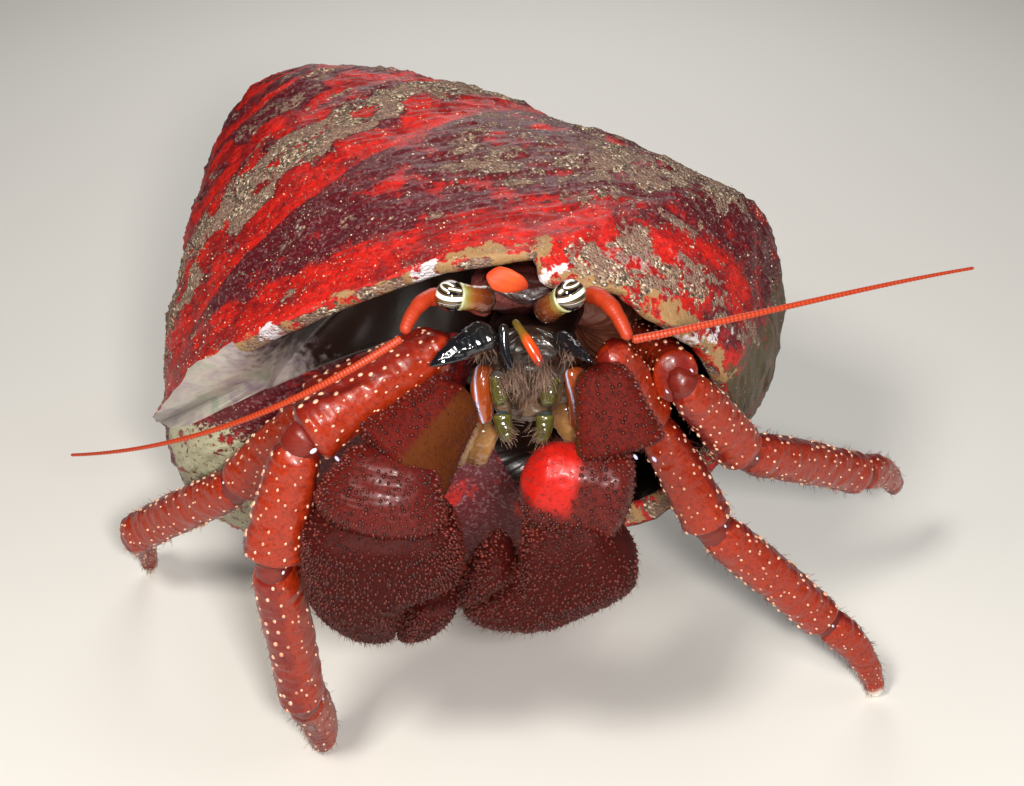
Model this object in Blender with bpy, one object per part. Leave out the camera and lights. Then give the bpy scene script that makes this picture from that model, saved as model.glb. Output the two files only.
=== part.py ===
"""Life-size hermit crab walking in a worn top shell: the construction.

Every sub-part is one closed solid in a node of its own. Sizes and places are millimetres in a
working frame: +X points to the crab's own left, -Y is the way it faces, +Z is up and the floor is
z = 0. One empty carries every part, and its place puts the origin at the bottom centre of the
whole object's box. Run with: blender --background --python part.py
"""
import math

import bmesh
import bpy
import numpy as np

MM = 0.001
LEFT = (1.0, 0.0, 0.0)
AHEAD = (0.0, -1.0, 0.0)
UP = (0.0, 0.0, 1.0)
GAP = 0.34                    # clear space kept between neighbouring plates

# ---- shell: flat whorls on a leaning axis, wound clockwise as seen from the apex -------------
AXIS_HEADING = -0.58          # radians from +Y towards +X, the way that the apex points
AXIS_RISE = 0.459             # radians above level
LIP_ROLL = 3.002              # radians that the lip is turned round the axis
AXIS_FOOT = (2.8, -26.2, 19.15)
SHOULDER_RADIUS = 41.26       # at the lip
SPIRE_HEIGHT = 60.87          # from the lip's shoulder to the apex, along the axis
GROWTH = 1.45                 # widening in one turn
SPIRE_BEND = 1.522            # 1 is a straight cone, more is a dome
BASE_DEPTH = 0.585            # in shoulder radii
BASE_ROUND = (0.9, 1.1)
COLUMNS = 30                  # growth steps in one turn
LIP_LEAN = 7                  # growth steps that the shoulder lags behind the suture
FOOT_LEAN = 4.0               # radians that the inner end of the lip lags behind the suture
FOOT_CURVE = 1.6
TURNS = 3
SIDE_ROWS = 5
BASE_ROWS = 8
WALL = 1.8
LIP_WALL = 0.9
INNER_GLAZE = 0.7             # what the hollow leaves over the whorl inside the mouth
LIP_THICKENS_OVER = 0.9       # radians from the lip to the full wall
HOLLOW_REACH = 26             # growth steps of hollow behind the lip
HOLLOW_OUTER = (0.4, 0.6, 0.8, 1.0, 1.25, 1.5, 1.75, 1.875)
HOLLOW_INNER = (1.875, 1.75, 1.625, 1.5, 1.375)
PILLAR_THICKENS_FROM = 1.5    # station where the wall starts to merge into the central pillar
PILLAR_WALL = 4.0             # extra wall for each whole station beyond that
HOLLOW_END = 0.35             # share of the full section left at the inner end
HOLLOW_ROUNDS_OVER = 3        # growth steps in which the inner end closes
FLOOR_CUT = 120.0             # side of the block that cuts the resting flat

# ---- walking legs, from the body outwards ----------------------------------------------------
SEGMENTS = ("merus", "carpus", "propodus", "dactyl")
HALF_WIDTHS = ((2.0, 2.4), (2.25, 2.2), (2.2, 1.9), (1.75, 0.6))
LEG_FLATNESS = 0.84           # thickness over height
LEG_SIDES = 8
HIP_PULL = 2.0                # how far out from the body line the first segment starts
KNUCKLE = 0.72                # share of the half width that a segment's end keeps clear of a bend
TIP_SAG = 1.1                 # how far the last segment bows up from a straight line
FOOT_HALF = 0.5               # half width of the flat under a claw tip
# Each leg: where its tip stands, its girth, then length, heading and pitch of each segment. A
# heading is in degrees from straight ahead towards the crab's left, and a pitch is above level.
LEGS = {
    "second_leg_right": ((-18.6, -37.9, 0.0), 1.06, ((16.5, -61.7, -21.4), (13.0, -90.3, -75.6),
                                                     (19.7, 161.2, -78.2), (13.0, 170.5, -61.7))),
    "second_leg_left": ((37.5, -30.0, 0.0), 0.95, ((13.6, 140.0, -57.4), (13.0, 82.8, -62.1),
                                                  (19.7, 109.9, -48.1), (13.0, 104.2, -58.7))),
    "third_leg_right": ((-40.4, -8.6, 0.0), 0.95, ((16.0, -98.8, -35.3), (14.5, -114.6, -51.5),
                                                   (22.0, -128.6, -38.8), (14.0, -176.9, -52.0))),
    "third_leg_left": ((41.4, -11.3, 12.7), 0.93, ((16.6, 10.3, 13.0), (14.5, 130.8, -51.7),
                                                   (22.0, 132.5, -30.6), (13.0, 145.2, -37.5))),
}

# ---- profiles: (share of length, share of the half width) ------------------------------------
PLATE = ((0.0, 0.55), (0.1, 0.92), (0.35, 1.0), (0.7, 1.0), (0.93, 1.03), (1.0, 0.75))
CLAW_TIP = ((0.0, 0.6), (0.12, 0.95), (0.4, 1.0), (0.75, 1.0), (1.0, 1.0))
BARREL = ((0.0, 0.6), (0.2, 0.93), (0.6, 1.0), (0.88, 0.93), (1.0, 0.66))
WEDGE = ((0.0, 0.6), (0.15, 0.95), (0.5, 0.96), (0.85, 1.0), (1.0, 0.82))
KNOB = ((0.0, 0.5), (0.16, 0.8), (0.5, 1.0), (0.82, 1.0), (1.0, 0.7))
SPINDLE = ((0.0, 0.75), (0.3, 1.0), (0.65, 0.85), (1.0, 0.35))
THREAD = ((0.0, 1.0), (0.12, 1.0), (0.25, 1.0), (0.4, 1.0), (0.55, 1.0), (0.7, 1.0), (0.85, 1.0), (1.0, 1.0))
SAUSAGE = ((0.0, 0.72), (0.12, 0.95), (0.4, 1.0), (0.65, 1.0), (0.9, 0.97), (1.0, 0.74))
DOME = ((0.0, 0.62), (0.14, 0.86), (0.4, 1.0), (0.7, 1.0), (0.9, 0.9), (1.0, 0.68))

# ---- claw hands: (share of length, shift to the fixed finger, half width, half thickness), the
# last three in half widths and half thicknesses of the whole hand -------------------------------
HAND = ((0.0, 0.0, 0.42, 0.5), (0.1, 0.0, 0.74, 0.8), (0.27, 0.0, 0.96, 1.0), (0.45, 0.0, 1.0, 1.0),
        (0.55, 0.33, 0.65, 0.95), (0.7, 0.33, 0.53, 0.82), (0.86, 0.26, 0.34, 0.58), (1.0, 0.1, 0.12, 0.25))
HAND_SIDES = 10
# The free finger closes the hand's outline beside the fixed one, in the same terms.
FREE_FINGER = ((0.56, -0.69, 0.24, 0.6), (0.62, -0.64, 0.29, 0.8), (0.74, -0.54, 0.28, 0.72),
               (0.88, -0.37, 0.21, 0.5), (1.0, -0.16, 0.08, 0.2))
# Each hand: wrist, tip, way of the fixed finger, half width, half thickness.
HANDS = {
    "right": ((-11.5, -49.0, 34.9), (-11.0, -46.0, 21.2), (-1.0, 0.0, 0.0), 6.6, 4.1),
    "left": ((10.2, -47.3, 31.3), (-4.2, -46.6, 25.0), (0.5, 0.0, -0.87), 5.4, 3.9),
}

# ---- claws below the hand: (name, path, half widths, profile, way of the full width, flatness) --
CLAW_LIMBS = (
    ("claw_right_ischium", ((-2.2, -41.9, 46.6), (-2.3, -43.2, 42.8)), 0.85, 0.8, BARREL, LEFT, 1.0),
    ("claw_left_ischium", ((5.2, -41.9, 46.4), (5.7, -43.4, 42.2)), 0.9, 0.85, BARREL, LEFT, 1.0),
    ("claw_right_merus", ((-4.4, -43.8, 45.0), (-9.2, -47.0, 41.5)), 2.1, 3.5, WEDGE,
     (0.6, 0.0, -0.8), 0.62),
    ("claw_left_merus", ((7.9, -44.3, 47.0), (9.6, -46.4, 42.6)), 1.7, 2.9, WEDGE, LEFT, 0.75),
    ("claw_right_carpus", ((-11.6, -49.4, 39.2), (-11.7, -49.6, 37.2)), 5.0, 5.2, KNOB, LEFT, 0.6),
    ("claw_left_carpus", ((10.6, -46.6, 38.0), (1.2, -47.1, 38.4)), 3.7, 3.3, BARREL, UP, 0.8),
)

# ---- short legs inside the shell: (name, path, half widths) ------------------------------------
REAR_LEGS = (
    ("fourth_leg_right", ((-1.9, -26.2, 43.4), (-4.6, -25.2, 44.0), (-6.4, -22.4, 43.2)), 1.0, 0.8),
    ("fourth_leg_left", ((9.8, -21.4, 43.9), (12.3, -20.2, 43.6), (13.4, -16.8, 41.6)), 1.0, 0.8),
    ("fifth_leg_right", ((0.4, -21.9, 45.2), (-0.8, -20.4, 46.6), (-1.4, -18.2, 47.2)), 0.8, 0.6),
    ("fifth_leg_left", ((8.8, -20.0, 47.2), (10.6, -18.8, 47.6), (11.4, -15.8, 46.4)), 0.8, 0.6),
)

# ---- abdomen and tail, in the shell's own round frame ------------------------------------------
ABDOMEN_TURN = (5.0, 7.25)        # radians
ABDOMEN_RADIUS = (20.0, 15.5)
ABDOMEN_HEIGHT = (13.0, 20.0)
ABDOMEN_GAP = 0.06                # share of one length
ABDOMEN = (("abdomen_front", 3.6, 4.3), ("abdomen_middle", 4.4, 3.9), ("abdomen_rear", 3.8, 2.7))
TAIL_GAP = 0.08                   # radians

# ---- head --------------------------------------------------------------------------------------
EYE_RADIUS = 1.14
EYE_GAP = 0.32
EYESTALK = ((0.0, 0.8), (0.3, 1.0), (0.7, 0.95), (1.0, 0.9))
# Each eye: name, foot of the stalk, centre of the eye, half width of the stalk.
EYES = (
    ("right", (-1.5, -42.7, 53.7), (-5.1, -43.9, 54.9), 1.15),
    ("left", (2.5, -42.9, 52.6), (4.8, -45.2, 55.7), 1.15),
)
# Each: name, material, path, half widths, profile, flatness, sides.
HEAD_LIMBS = (
    ("rostral_plate", "scale_plate", ((-1.7, -43.4, 56.0), (1.3, -43.4, 55.9)), 1.1, 1.1, SPINDLE, 0.6, 8),
    ("antenna_peduncle_right", "antenna", ((-6.0, -41.7, 53.9), (-7.8, -43.4, 55.0), (-8.8, -46.2, 52.9)),
     0.8, 0.6, SAUSAGE, 1.0, 6),
    ("antenna_peduncle_left", "antenna", ((7.0, -41.5, 53.4), (8.4, -43.6, 54.6), (9.4, -46.1, 52.3)),
     0.8, 0.62, SAUSAGE, 1.0, 6),
    ("antenna_flagellum_right", "antenna",
     ((-9.2, -46.9, 52.4), (-17.0, -51.0, 48.8), (-27.5, -45.5, 40.5), (-41.2, -33.0, 31.8)),
     0.48, 0.27, THREAD, 1.0, 5),
    ("antenna_flagellum_left", "antenna",
     ((10.0, -46.8, 52.4), (19.0, -45.5, 53.6), (30.0, -39.5, 53.4), (40.7, -33.0, 51.6)),
     0.48, 0.27, THREAD, 1.0, 5),
    ("acicle_right", "scale", ((-2.3, -43.2, 51.1), (-3.6, -45.0, 50.9), (-5.7, -46.1, 49.5)),
     0.9, 0.35, SAUSAGE, 1.0, 6),
    ("acicle_left", "scale", ((3.9, -43.2, 50.8), (5.0, -45.6, 51.4), (5.9, -48.4, 51.7)),
     0.9, 0.35, SAUSAGE, 1.0, 6),
    ("antennule_left", "antenna", ((0.2, -43.7, 52.3), (1.0, -45.6, 52.0), (2.4, -47.0, 50.2)),
     0.45, 0.6, SAUSAGE, 1.0, 6),
    ("antennule_right", "mouthparts", ((-0.6, -43.5, 51.9), (-0.9, -44.6, 50.4), (0.0, -45.2, 48.6)),
     0.4, 0.35, SAUSAGE, 1.0, 6),
    ("mouth_foot_right_upper", "mouthparts", ((-1.1, -43.9, 47.3), (-0.9, -44.6, 44.9)),
     0.65, 0.7, BARREL, 1.0, 6),
    ("mouth_foot_right_lower", "mouthparts", ((-0.85, -44.9, 44.1), (-0.3, -46.0, 42.2)),
     0.8, 0.6, BARREL, 1.0, 6),
    ("mouth_foot_left_upper", "mouthparts", ((3.4, -43.9, 47.2), (2.9, -44.7, 44.9)),
     0.65, 0.7, BARREL, 1.0, 6),
    ("mouth_foot_left_lower", "mouthparts", ((2.8, -45.0, 44.1), (2.4, -46.1, 42.0)),
     0.8, 0.6, BARREL, 1.0, 6),
)

# ---- looks: (linear colour, roughness, coat) ---------------------------------------------------
LOOKS = {
    "shell": ((0.262, 0.025, 0.016), 0.7, 0.0),
    "exoskeleton": ((0.462, 0.03, 0.01), 0.35, 0.3),
    "claw": ((0.156, 0.012, 0.007), 0.5, 0.1),
    "antenna": ((0.694, 0.089, 0.01), 0.4, 0.1),
    "scale": ((0.012, 0.014, 0.019), 0.25, 0.4),
    "scale_plate": ((0.76, 0.12, 0.012), 0.35, 0.3),
    "mouthparts": ((0.102, 0.089, 0.019), 0.4, 0.3),
    "eyestalk": ((0.35, 0.24, 0.09), 0.3, 0.4),
    "eye": ((0.01, 0.01, 0.012), 0.1, 0.8),
    "abdomen": ((0.584, 0.254, 0.144), 0.5, 0.2),
}


# ---- vectors -----------------------------------------------------------------------------
def vec(*values):
    """A point or direction as an array."""
    return np.array(values, dtype=float)


def unit(direction):
    """The direction at length one."""
    return direction / np.linalg.norm(direction)


def heading(degrees, pitch):
    """Unit direction for a heading from straight ahead and a pitch above level."""
    turn, rise = math.radians(degrees), math.radians(pitch)
    return vec(math.sin(turn) * math.cos(rise), -math.cos(turn) * math.cos(rise), math.sin(rise))


def bezier(*points):
    """Path through the Bezier curve of the control points, found by halving the hull."""
    def path(share):
        hull = [vec(*p) for p in points]
        while len(hull) > 1:
            hull = [near + (far - near) * share for near, far in zip(hull, hull[1:])]
        return hull[0]
    return path


# ---- objects -----------------------------------------------------------------------------
def clear_scene():
    """Remove what the file opened with."""
    for thing in list(bpy.data.objects):
        bpy.data.objects.remove(thing, do_unlink=True)


def paint(name, color, roughness, coat=0.0):
    """A Principled material with a linear base colour."""
    material = bpy.data.materials.new(name)
    material.use_nodes = True
    shader = material.node_tree.nodes["Principled BSDF"]
    shader.inputs["Base Color"].default_value = (*color, 1.0)
    shader.inputs["Roughness"].default_value = roughness
    shader.inputs["Coat Weight"].default_value = coat
    material.diffuse_color = (*color, 1.0)
    return material


def add_object(name, bm, material, rig):
    """Object of a bmesh in working millimetres, with its origin in the middle of its own box."""
    bmesh.ops.recalc_face_normals(bm, faces=bm.faces)
    places = np.array([vert.co[:] for vert in bm.verts])
    middle = (places.min(axis=0) + places.max(axis=0)) / 2.0
    for vert, place in zip(bm.verts, places):
        vert.co = (place - middle) * MM
    mesh = bpy.data.meshes.new(name)
    bm.to_mesh(mesh)
    bm.free()
    mesh.shade_smooth()
    mesh.materials.append(material)
    thing = bpy.data.objects.new(name, mesh)
    bpy.context.scene.collection.objects.link(thing)
    thing.parent = rig
    thing.location = middle * MM
    return thing


def skin_rings(rings, start_pole, end_pole):
    """Closed mesh over rings of equal count, closed by a pole or, where that is None, a flat."""
    bm = bmesh.new()
    loops = [[bm.verts.new(point) for point in ring] for ring in rings]
    count = len(loops[0])
    for near, far in zip(loops, loops[1:]):
        for k in range(count):
            following = (k + 1) % count
            bm.faces.new((near[k], near[following], far[following], far[k]))
    for loop, pole in ((loops[0], start_pole), (loops[-1], end_pole)):
        if pole is None:
            bm.faces.new(loop)
            continue
        tip = bm.verts.new(pole)
        for k in range(count):
            bm.faces.new((loop[k], loop[(k + 1) % count], tip))
    return bm


def ring_points(centre, across, over, count):
    """Ellipse round a centre: across spans its half width, over its half thickness."""
    angles = [2.0 * math.pi * k / count for k in range(count)]
    return [centre + across * math.cos(angle) + over * math.sin(angle) for angle in angles]


def limb(path, half_start, half_end, profile, side=UP, flatness=1.0, count=8, bulge=0.25):
    """Solid along a path, whose half width follows the profile.

    side is the way of the full width, flatness the thickness over it, and bulge how far the two
    closed ends stand out, in half widths.
    """
    step = 0.01
    rings = []
    for share, scale in profile:
        along = unit(path(min(share + step, 1.0)) - path(max(share - step, 0.0)))
        across = unit(vec(*side) - along * np.dot(side, along))
        over = np.cross(along, across)
        half = (half_start + (half_end - half_start) * share) * scale
        rings.append(ring_points(path(share), across * half, over * half * flatness, count))
    start = path(0.0) - unit(path(step) - path(0.0)) * half_start * profile[0][1] * bulge
    end = path(1.0) + unit(path(1.0) - path(1.0 - step)) * half_end * profile[-1][1] * bulge
    return skin_rings(rings, start, end)


# ---- the shell ---------------------------------------------------------------------------
def shell_axes():
    """The shell's axis, towards the apex, and the two level-based directions across it."""
    axis = vec(math.sin(AXIS_HEADING) * math.cos(AXIS_RISE),
               math.cos(AXIS_HEADING) * math.cos(AXIS_RISE), math.sin(AXIS_RISE))
    across = unit(np.cross(axis, UP))
    return axis, across, np.cross(axis, across)


def shell_point(growth, station):
    """Point of the shell's outer face.

    growth is the angle of growth in radians, 0 at the lip and less inside. station runs from the
    suture (0) down the flat side to the shoulder (1) and over the base to the axis (2). Radius
    grows as GROWTH to the power of the turns, and height as a power of it.
    """
    side, base = min(station, 1.0), max(station - 1.0, 0.0)
    shoulder_lag = 2.0 * math.pi * LIP_LEAN / COLUMNS
    turned = growth - shoulder_lag * side - (FOOT_LEAN - shoulder_lag) * base ** FOOT_CURVE
    size = GROWTH ** (turned / (2.0 * math.pi))
    shoulder = SHOULDER_RADIUS * size, SPIRE_HEIGHT * (1.0 - size ** SPIRE_BEND)
    inner = size / GROWTH
    suture = SHOULDER_RADIUS * inner, SPIRE_HEIGHT * (1.0 - inner ** SPIRE_BEND)
    radius = suture[0] + (shoulder[0] - suture[0]) * side
    height = suture[1] + (shoulder[1] - suture[1]) * side
    if base > 0.0:
        bend = base * math.pi / 2.0
        radius = shoulder[0] * max(math.cos(bend), 0.0) ** BASE_ROUND[0]
        height = shoulder[1] - BASE_DEPTH * SHOULDER_RADIUS * size * math.sin(bend) ** BASE_ROUND[1]
    angle = LIP_ROLL - turned
    axis, across, over = shell_axes()
    return vec(*AXIS_FOOT) + (across * math.cos(angle) + over * math.sin(angle)) * radius + axis * height


def shell_normal(growth, station):
    """Outward direction of the shell's outer face."""
    step = 0.01
    along = shell_point(growth + step, station) - shell_point(growth - step, station)
    down = shell_point(growth, station + step) - shell_point(growth, station - step)
    return unit(np.cross(along, down))


def hollow_wall(growth, station):
    """Wall thickness left outside the hollow."""
    depth = min(max(-growth / LIP_THICKENS_OVER, 0.0), 1.0)
    pillar = max(station - PILLAR_THICKENS_FROM, 0.0) * PILLAR_WALL
    return LIP_WALL + (WALL - LIP_WALL) * depth + pillar


def hollow_ring(columns_back):
    """Section of the hollow, so many growth steps behind the lip: outer wall, then inner wall."""
    step = 2.0 * math.pi / COLUMNS
    growth = -columns_back * step
    before = growth - step * (COLUMNS - LIP_LEAN)
    ring = [shell_point(growth, s) - shell_normal(growth, s) * hollow_wall(growth, s)
            for s in HOLLOW_OUTER]
    ring += [shell_point(before, s) + shell_normal(before, s) * INNER_GLAZE for s in HOLLOW_INNER]
    centre = sum(ring) / len(ring)
    left = (HOLLOW_REACH - columns_back) / HOLLOW_ROUNDS_OVER
    narrowed = min(1.0, HOLLOW_END + (1.0 - HOLLOW_END) * left)
    return [centre + (place - centre) * narrowed for place in ring]


def strip(bm, one, other):
    """Triangles between two vertex chains, in step by their lengths."""
    def shares(chain):
        steps = [(b.co - a.co).length for a, b in zip(chain, chain[1:])]
        total = sum(steps)
        return [sum(steps[:k]) / total for k in range(len(chain))]
    share_one, share_other = shares(one), shares(other)
    i = j = 0
    while i < len(one) - 1 or j < len(other) - 1:
        next_one = share_one[i + 1] if i < len(one) - 1 else math.inf
        next_other = share_other[j + 1] if j < len(other) - 1 else math.inf
        if next_one <= next_other:
            bm.faces.new((one[i], other[j], one[i + 1]))
            i += 1
        else:
            bm.faces.new((one[i], other[j], other[j + 1]))
            j += 1


def shell_faces(bm):
    """The shell's outer face. Gives back the lip, and the chain that the mouth's inner side follows."""
    last = TURNS * COLUMNS
    growth = [(i - last) * 2.0 * math.pi / COLUMNS for i in range(last + 1)]
    cover = COLUMNS - LIP_LEAN
    side = [[bm.verts.new(shell_point(g, j / SIDE_ROWS)) for j in range(SIDE_ROWS)] for g in growth]
    for i, column in enumerate(side):
        covered = i + cover <= last
        column.append(side[i + cover][0] if covered else bm.verts.new(shell_point(growth[i], 1.0)))
    first_open = last - cover
    base = {}
    for i in range(first_open, last + 1):
        rows = [bm.verts.new(shell_point(growth[i], 1.0 + k / BASE_ROWS)) for k in range(1, BASE_ROWS + 1)]
        base[i] = [side[i][SIDE_ROWS]] + rows
    for i in range(last):
        for j in range(SIDE_ROWS):
            bm.faces.new((side[i][j], side[i + 1][j], side[i + 1][j + 1], side[i][j + 1]))
    for i in range(first_open, last):
        for k in range(BASE_ROWS):
            bm.faces.new((base[i][k], base[i + 1][k], base[i + 1][k + 1], base[i][k + 1]))
    apex = bm.verts.new(vec(*AXIS_FOOT) + shell_axes()[0] * SPIRE_HEIGHT)
    top = [side[i][0] for i in range(cover + 1)] + [side[0][j] for j in range(SIDE_ROWS - 1, 0, -1)]
    for near, far in zip(top, top[1:] + top[:1]):
        bm.faces.new((near, far, apex))
    lip = side[last] + base[last][1:]
    return lip, base[first_open], [base[i][BASE_ROWS] for i in range(first_open + 1, last)]


def shell_solid():
    """The hollow shell as one closed solid."""
    bm = bmesh.new()
    lip, inner, pillar = shell_faces(bm)
    rings = [[bm.verts.new(place) for place in hollow_ring(k)] for k in range(HOLLOW_REACH + 1)]
    count = len(rings[0])
    for near, far in zip(rings, rings[1:]):
        for k in range(count):
            following = (k + 1) % count
            bm.faces.new((near[k], near[following], far[following], far[k]))
    end = bm.verts.new(sum((np.array(vert.co) for vert in rings[-1]), vec(0, 0, 0)) / count)
    for k in range(count):
        bm.faces.new((rings[-1][k], rings[-1][(k + 1) % count], end))
    mouth = rings[0]
    outer, behind = mouth[:len(HOLLOW_OUTER)], mouth[len(HOLLOW_OUTER):]
    first_row = round(HOLLOW_OUTER[0] * SIDE_ROWS)
    foot_row = SIDE_ROWS + round((HOLLOW_OUTER[-1] - 1.0) * BASE_ROWS)
    deep_row = round((HOLLOW_INNER[0] - 1.0) * BASE_ROWS)
    near_row = round((HOLLOW_INNER[-1] - 1.0) * BASE_ROWS)
    strip(bm, lip[first_row:foot_row + 1], outer)
    strip(bm, lip[foot_row:] + pillar[::-1] + inner[:deep_row - 1:-1], [outer[-1], behind[0]])
    strip(bm, inner[deep_row:near_row - 1:-1], behind)
    strip(bm, inner[near_row::-1] + lip[1:first_row + 1], [behind[-1], outer[0]])
    return bm


def floor_block():
    """The block below the floor."""
    bm = bmesh.new()
    bmesh.ops.create_cube(bm, size=FLOOR_CUT)
    for vert in bm.verts:
        vert.co.z -= FLOOR_CUT / 2.0
    return bm


def cut_from(target, cutter):
    """Cut the cutter's solid out of the target, and hide the cutter."""
    cutter.hide_render = True
    cutter.display_type = "WIRE"
    cut = target.modifiers.new(cutter.name, "BOOLEAN")
    cut.operation = "DIFFERENCE"
    cut.solver = "EXACT"
    cut.object = cutter


def round_shell(turned, radius, height):
    """Place in the shell's own round frame: angle, distance from the axis, height up the axis."""
    axis, across, over = shell_axes()
    return (vec(*AXIS_FOOT) + (across * math.cos(turned) + over * math.sin(turned)) * radius
            + axis * height)


# ---- legs and claws ----------------------------------------------------------------------
def bend_pull(before, after, half):
    """How far two segments stop short of the bend between them."""
    opening = math.acos(max(-1.0, min(1.0, float(np.dot(-before, after)))))
    return GAP / math.sin(opening / 2.0) + KNUCKLE * half / math.tan(opening / 2.0)


def grounded(tip, ahead, ring):
    """The last ring slid along the segment to the level of the tip, and narrowed to the foot."""
    middle = sum(ring) / len(ring)
    flat = []
    for place in ring:
        offset = place - middle
        level = offset - ahead * (offset[2] / ahead[2])
        flat.append(tip + unit(level) * FOOT_HALF)
    return flat


def walking_leg(tip, girth, segments):
    """The four solids of a walking leg, from the body to the tip."""
    aims = [heading(degrees, pitch) for _, degrees, pitch in segments]
    joints = [vec(*tip)]
    for (length, _, _), aim in zip(reversed(segments), reversed(aims)):
        joints.insert(0, joints[0] - aim * length)
    on_floor = tip[2] == 0.0
    solids = []
    for k, half_widths in enumerate(HALF_WIDTHS):
        half_start, half_end = (girth * half for half in half_widths)
        start_pull = HIP_PULL if k == 0 else bend_pull(aims[k - 1], aims[k], half_start)
        start = joints[k] + aims[k] * start_pull
        if k + 1 < len(HALF_WIDTHS):
            end = joints[k + 1] - aims[k] * bend_pull(aims[k], aims[k + 1], half_end)
            solids.append(limb(bezier(start, end), half_start, half_end, PLATE,
                               flatness=LEG_FLATNESS, count=LEG_SIDES))
            continue
        level = unit(np.cross(aims[k], UP))
        bow = np.cross(level, aims[k]) * TIP_SAG
        path = bezier(start, (start + joints[k + 1]) / 2.0 + bow * 2.0, joints[k + 1])
        solid = limb(path, half_start, half_end, CLAW_TIP, flatness=LEG_FLATNESS, count=LEG_SIDES)
        if on_floor:
            set_foot(solid, joints[k + 1], unit(path(1.0) - path(0.99)))
        solids.append(solid)
    return solids


def set_foot(solid, tip, ahead):
    """Move a tapered solid's last ring, and its end, to a flat at the tip's own level."""
    solid.verts.ensure_lookup_table()
    last = list(solid.verts)[-2 - LEG_SIDES:-2]
    flat = grounded(tip, ahead, [np.array(vert.co[:]) for vert in last])
    for vert, place in zip(last, flat):
        vert.co = place
    end = list(solid.verts)[-1]
    bmesh.ops.delete(solid, geom=[end], context="VERTS")
    solid.faces.new(last)


def hand_piece(sections, wrist, tip, fixed, half_width, half_thick):
    """One piece of a claw's hand, through its sections."""
    wrist, tip = vec(*wrist), vec(*tip)
    along = tip - wrist
    across = unit(vec(*fixed) - along * np.dot(fixed, along) / np.dot(along, along))
    over = unit(np.cross(along, across))
    rings = []
    for share, shift, wide, thick in sections:
        centre = wrist + along * share + across * shift * half_width
        rings.append(ring_points(centre, across * wide * half_width, over * thick * half_thick, HAND_SIDES))
    centres = [sum(ring) / len(ring) for ring in (rings[0], rings[-1])]
    return skin_rings(rings, centres[0], centres[1] + unit(along) * sections[-1][3] * half_thick)


def eye(centre, radius):
    """The round end of an eye."""
    bm = bmesh.new()
    bmesh.ops.create_icosphere(bm, subdivisions=2, radius=radius)
    for vert in bm.verts:
        vert.co = vec(*vert.co) + vec(*centre)
    return bm


# ---- the whole animal --------------------------------------------------------------------
def build_shell(rig, materials):
    """The shell with its hollow and its resting flat."""
    shell = add_object("shell", shell_solid(), materials["shell"], rig)
    cut_from(shell, add_object("cutter_floor", floor_block(), materials["shell"], rig))


def build_body(rig, materials):
    """Shield, trunk and the soft abdomen that winds up inside the shell."""
    plates = (
        ("shield", bezier((1.0, -40.7, 51.8), (1.2, -36.0, 51.9), (1.5, -32.0, 50.8)), 4.9, 4.7, 0.38),
        ("rear_carapace", bezier((1.7, -30.6, 50.3), (2.6, -26.5, 49.5), (3.9, -22.6, 47.4)), 4.7, 3.9, 0.42),
    )
    for name, path, half_start, half_end, flatness in plates:
        bm = limb(path, half_start, half_end, DOME, LEFT, flatness, count=12, bulge=0.2)
        add_object(name, bm, materials["exoskeleton"], rig)
    trunk = bezier((1.1, -39.9, 46.2), (1.4, -34.0, 46.6), (2.8, -27.5, 44.4), (3.8, -23.6, 43.0))
    add_object("thorax", limb(trunk, 3.9, 3.5, SAUSAGE, LEFT, 0.65, count=10), materials["exoskeleton"], rig)
    face = bezier((1.45, -41.6, 48.9), (1.45, -41.6, 41.6))
    add_object("mouthparts", limb(face, 1.6, 1.3, BARREL, LEFT, 0.6), materials["mouthparts"], rig)
    for k, (name, half_start, half_end) in enumerate(ABDOMEN):
        bm = limb(abdomen_path(k), half_start, half_end, SAUSAGE, count=10, bulge=0.0)
        add_object(name, bm, materials["abdomen"], rig)
    tail = ((("telson"), 0.0, 0.0, 1.5, 2.6), ("uropod_left", -2.9, 0.6, 1.0, 3.0),
            ("uropod_right", 2.7, -0.4, 0.8, 2.2))
    for name, outward, lift, half, length in tail:
        turned = ABDOMEN_TURN[1] + TAIL_GAP
        start = round_shell(turned, ABDOMEN_RADIUS[1] + outward, ABDOMEN_HEIGHT[1] + lift)
        end = round_shell(turned + length / ABDOMEN_RADIUS[1], ABDOMEN_RADIUS[1] + outward * 1.25,
                          ABDOMEN_HEIGHT[1] + lift)
        add_object(name, limb(bezier(start, end), half, half * 0.8, SPINDLE, flatness=0.7),
                   materials["abdomen"], rig)


def abdomen_path(piece):
    """Path of one length of the abdomen, on a spiral round the shell's axis."""
    def path(share):
        inset = ABDOMEN_GAP / 2.0
        whole = (piece + inset + (1.0 - 2.0 * inset) * share) / len(ABDOMEN)
        turned = ABDOMEN_TURN[0] + (ABDOMEN_TURN[1] - ABDOMEN_TURN[0]) * whole
        radius = ABDOMEN_RADIUS[0] + (ABDOMEN_RADIUS[1] - ABDOMEN_RADIUS[0]) * whole
        height = ABDOMEN_HEIGHT[0] + (ABDOMEN_HEIGHT[1] - ABDOMEN_HEIGHT[0]) * whole
        return round_shell(turned, radius, height)
    return path


def build_head(rig, materials):
    """Eyes, feelers, scales and mouth feet."""
    for name, base, centre, half in EYES:
        reach = vec(*centre) - vec(*base)
        end = vec(*centre) - unit(reach) * (EYE_RADIUS + EYE_GAP)
        add_object(f"eyestalk_{name}", limb(bezier(base, end), half, half * 0.92, EYESTALK),
                   materials["eyestalk"], rig)
        add_object(f"eye_{name}", eye(centre, EYE_RADIUS), materials["eye"], rig)
    for name, slot, points, half_start, half_end, profile, flatness, count in HEAD_LIMBS:
        bm = limb(bezier(*points), half_start, half_end, profile, LEFT, flatness, count)
        add_object(name, bm, materials[slot], rig)


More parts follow.
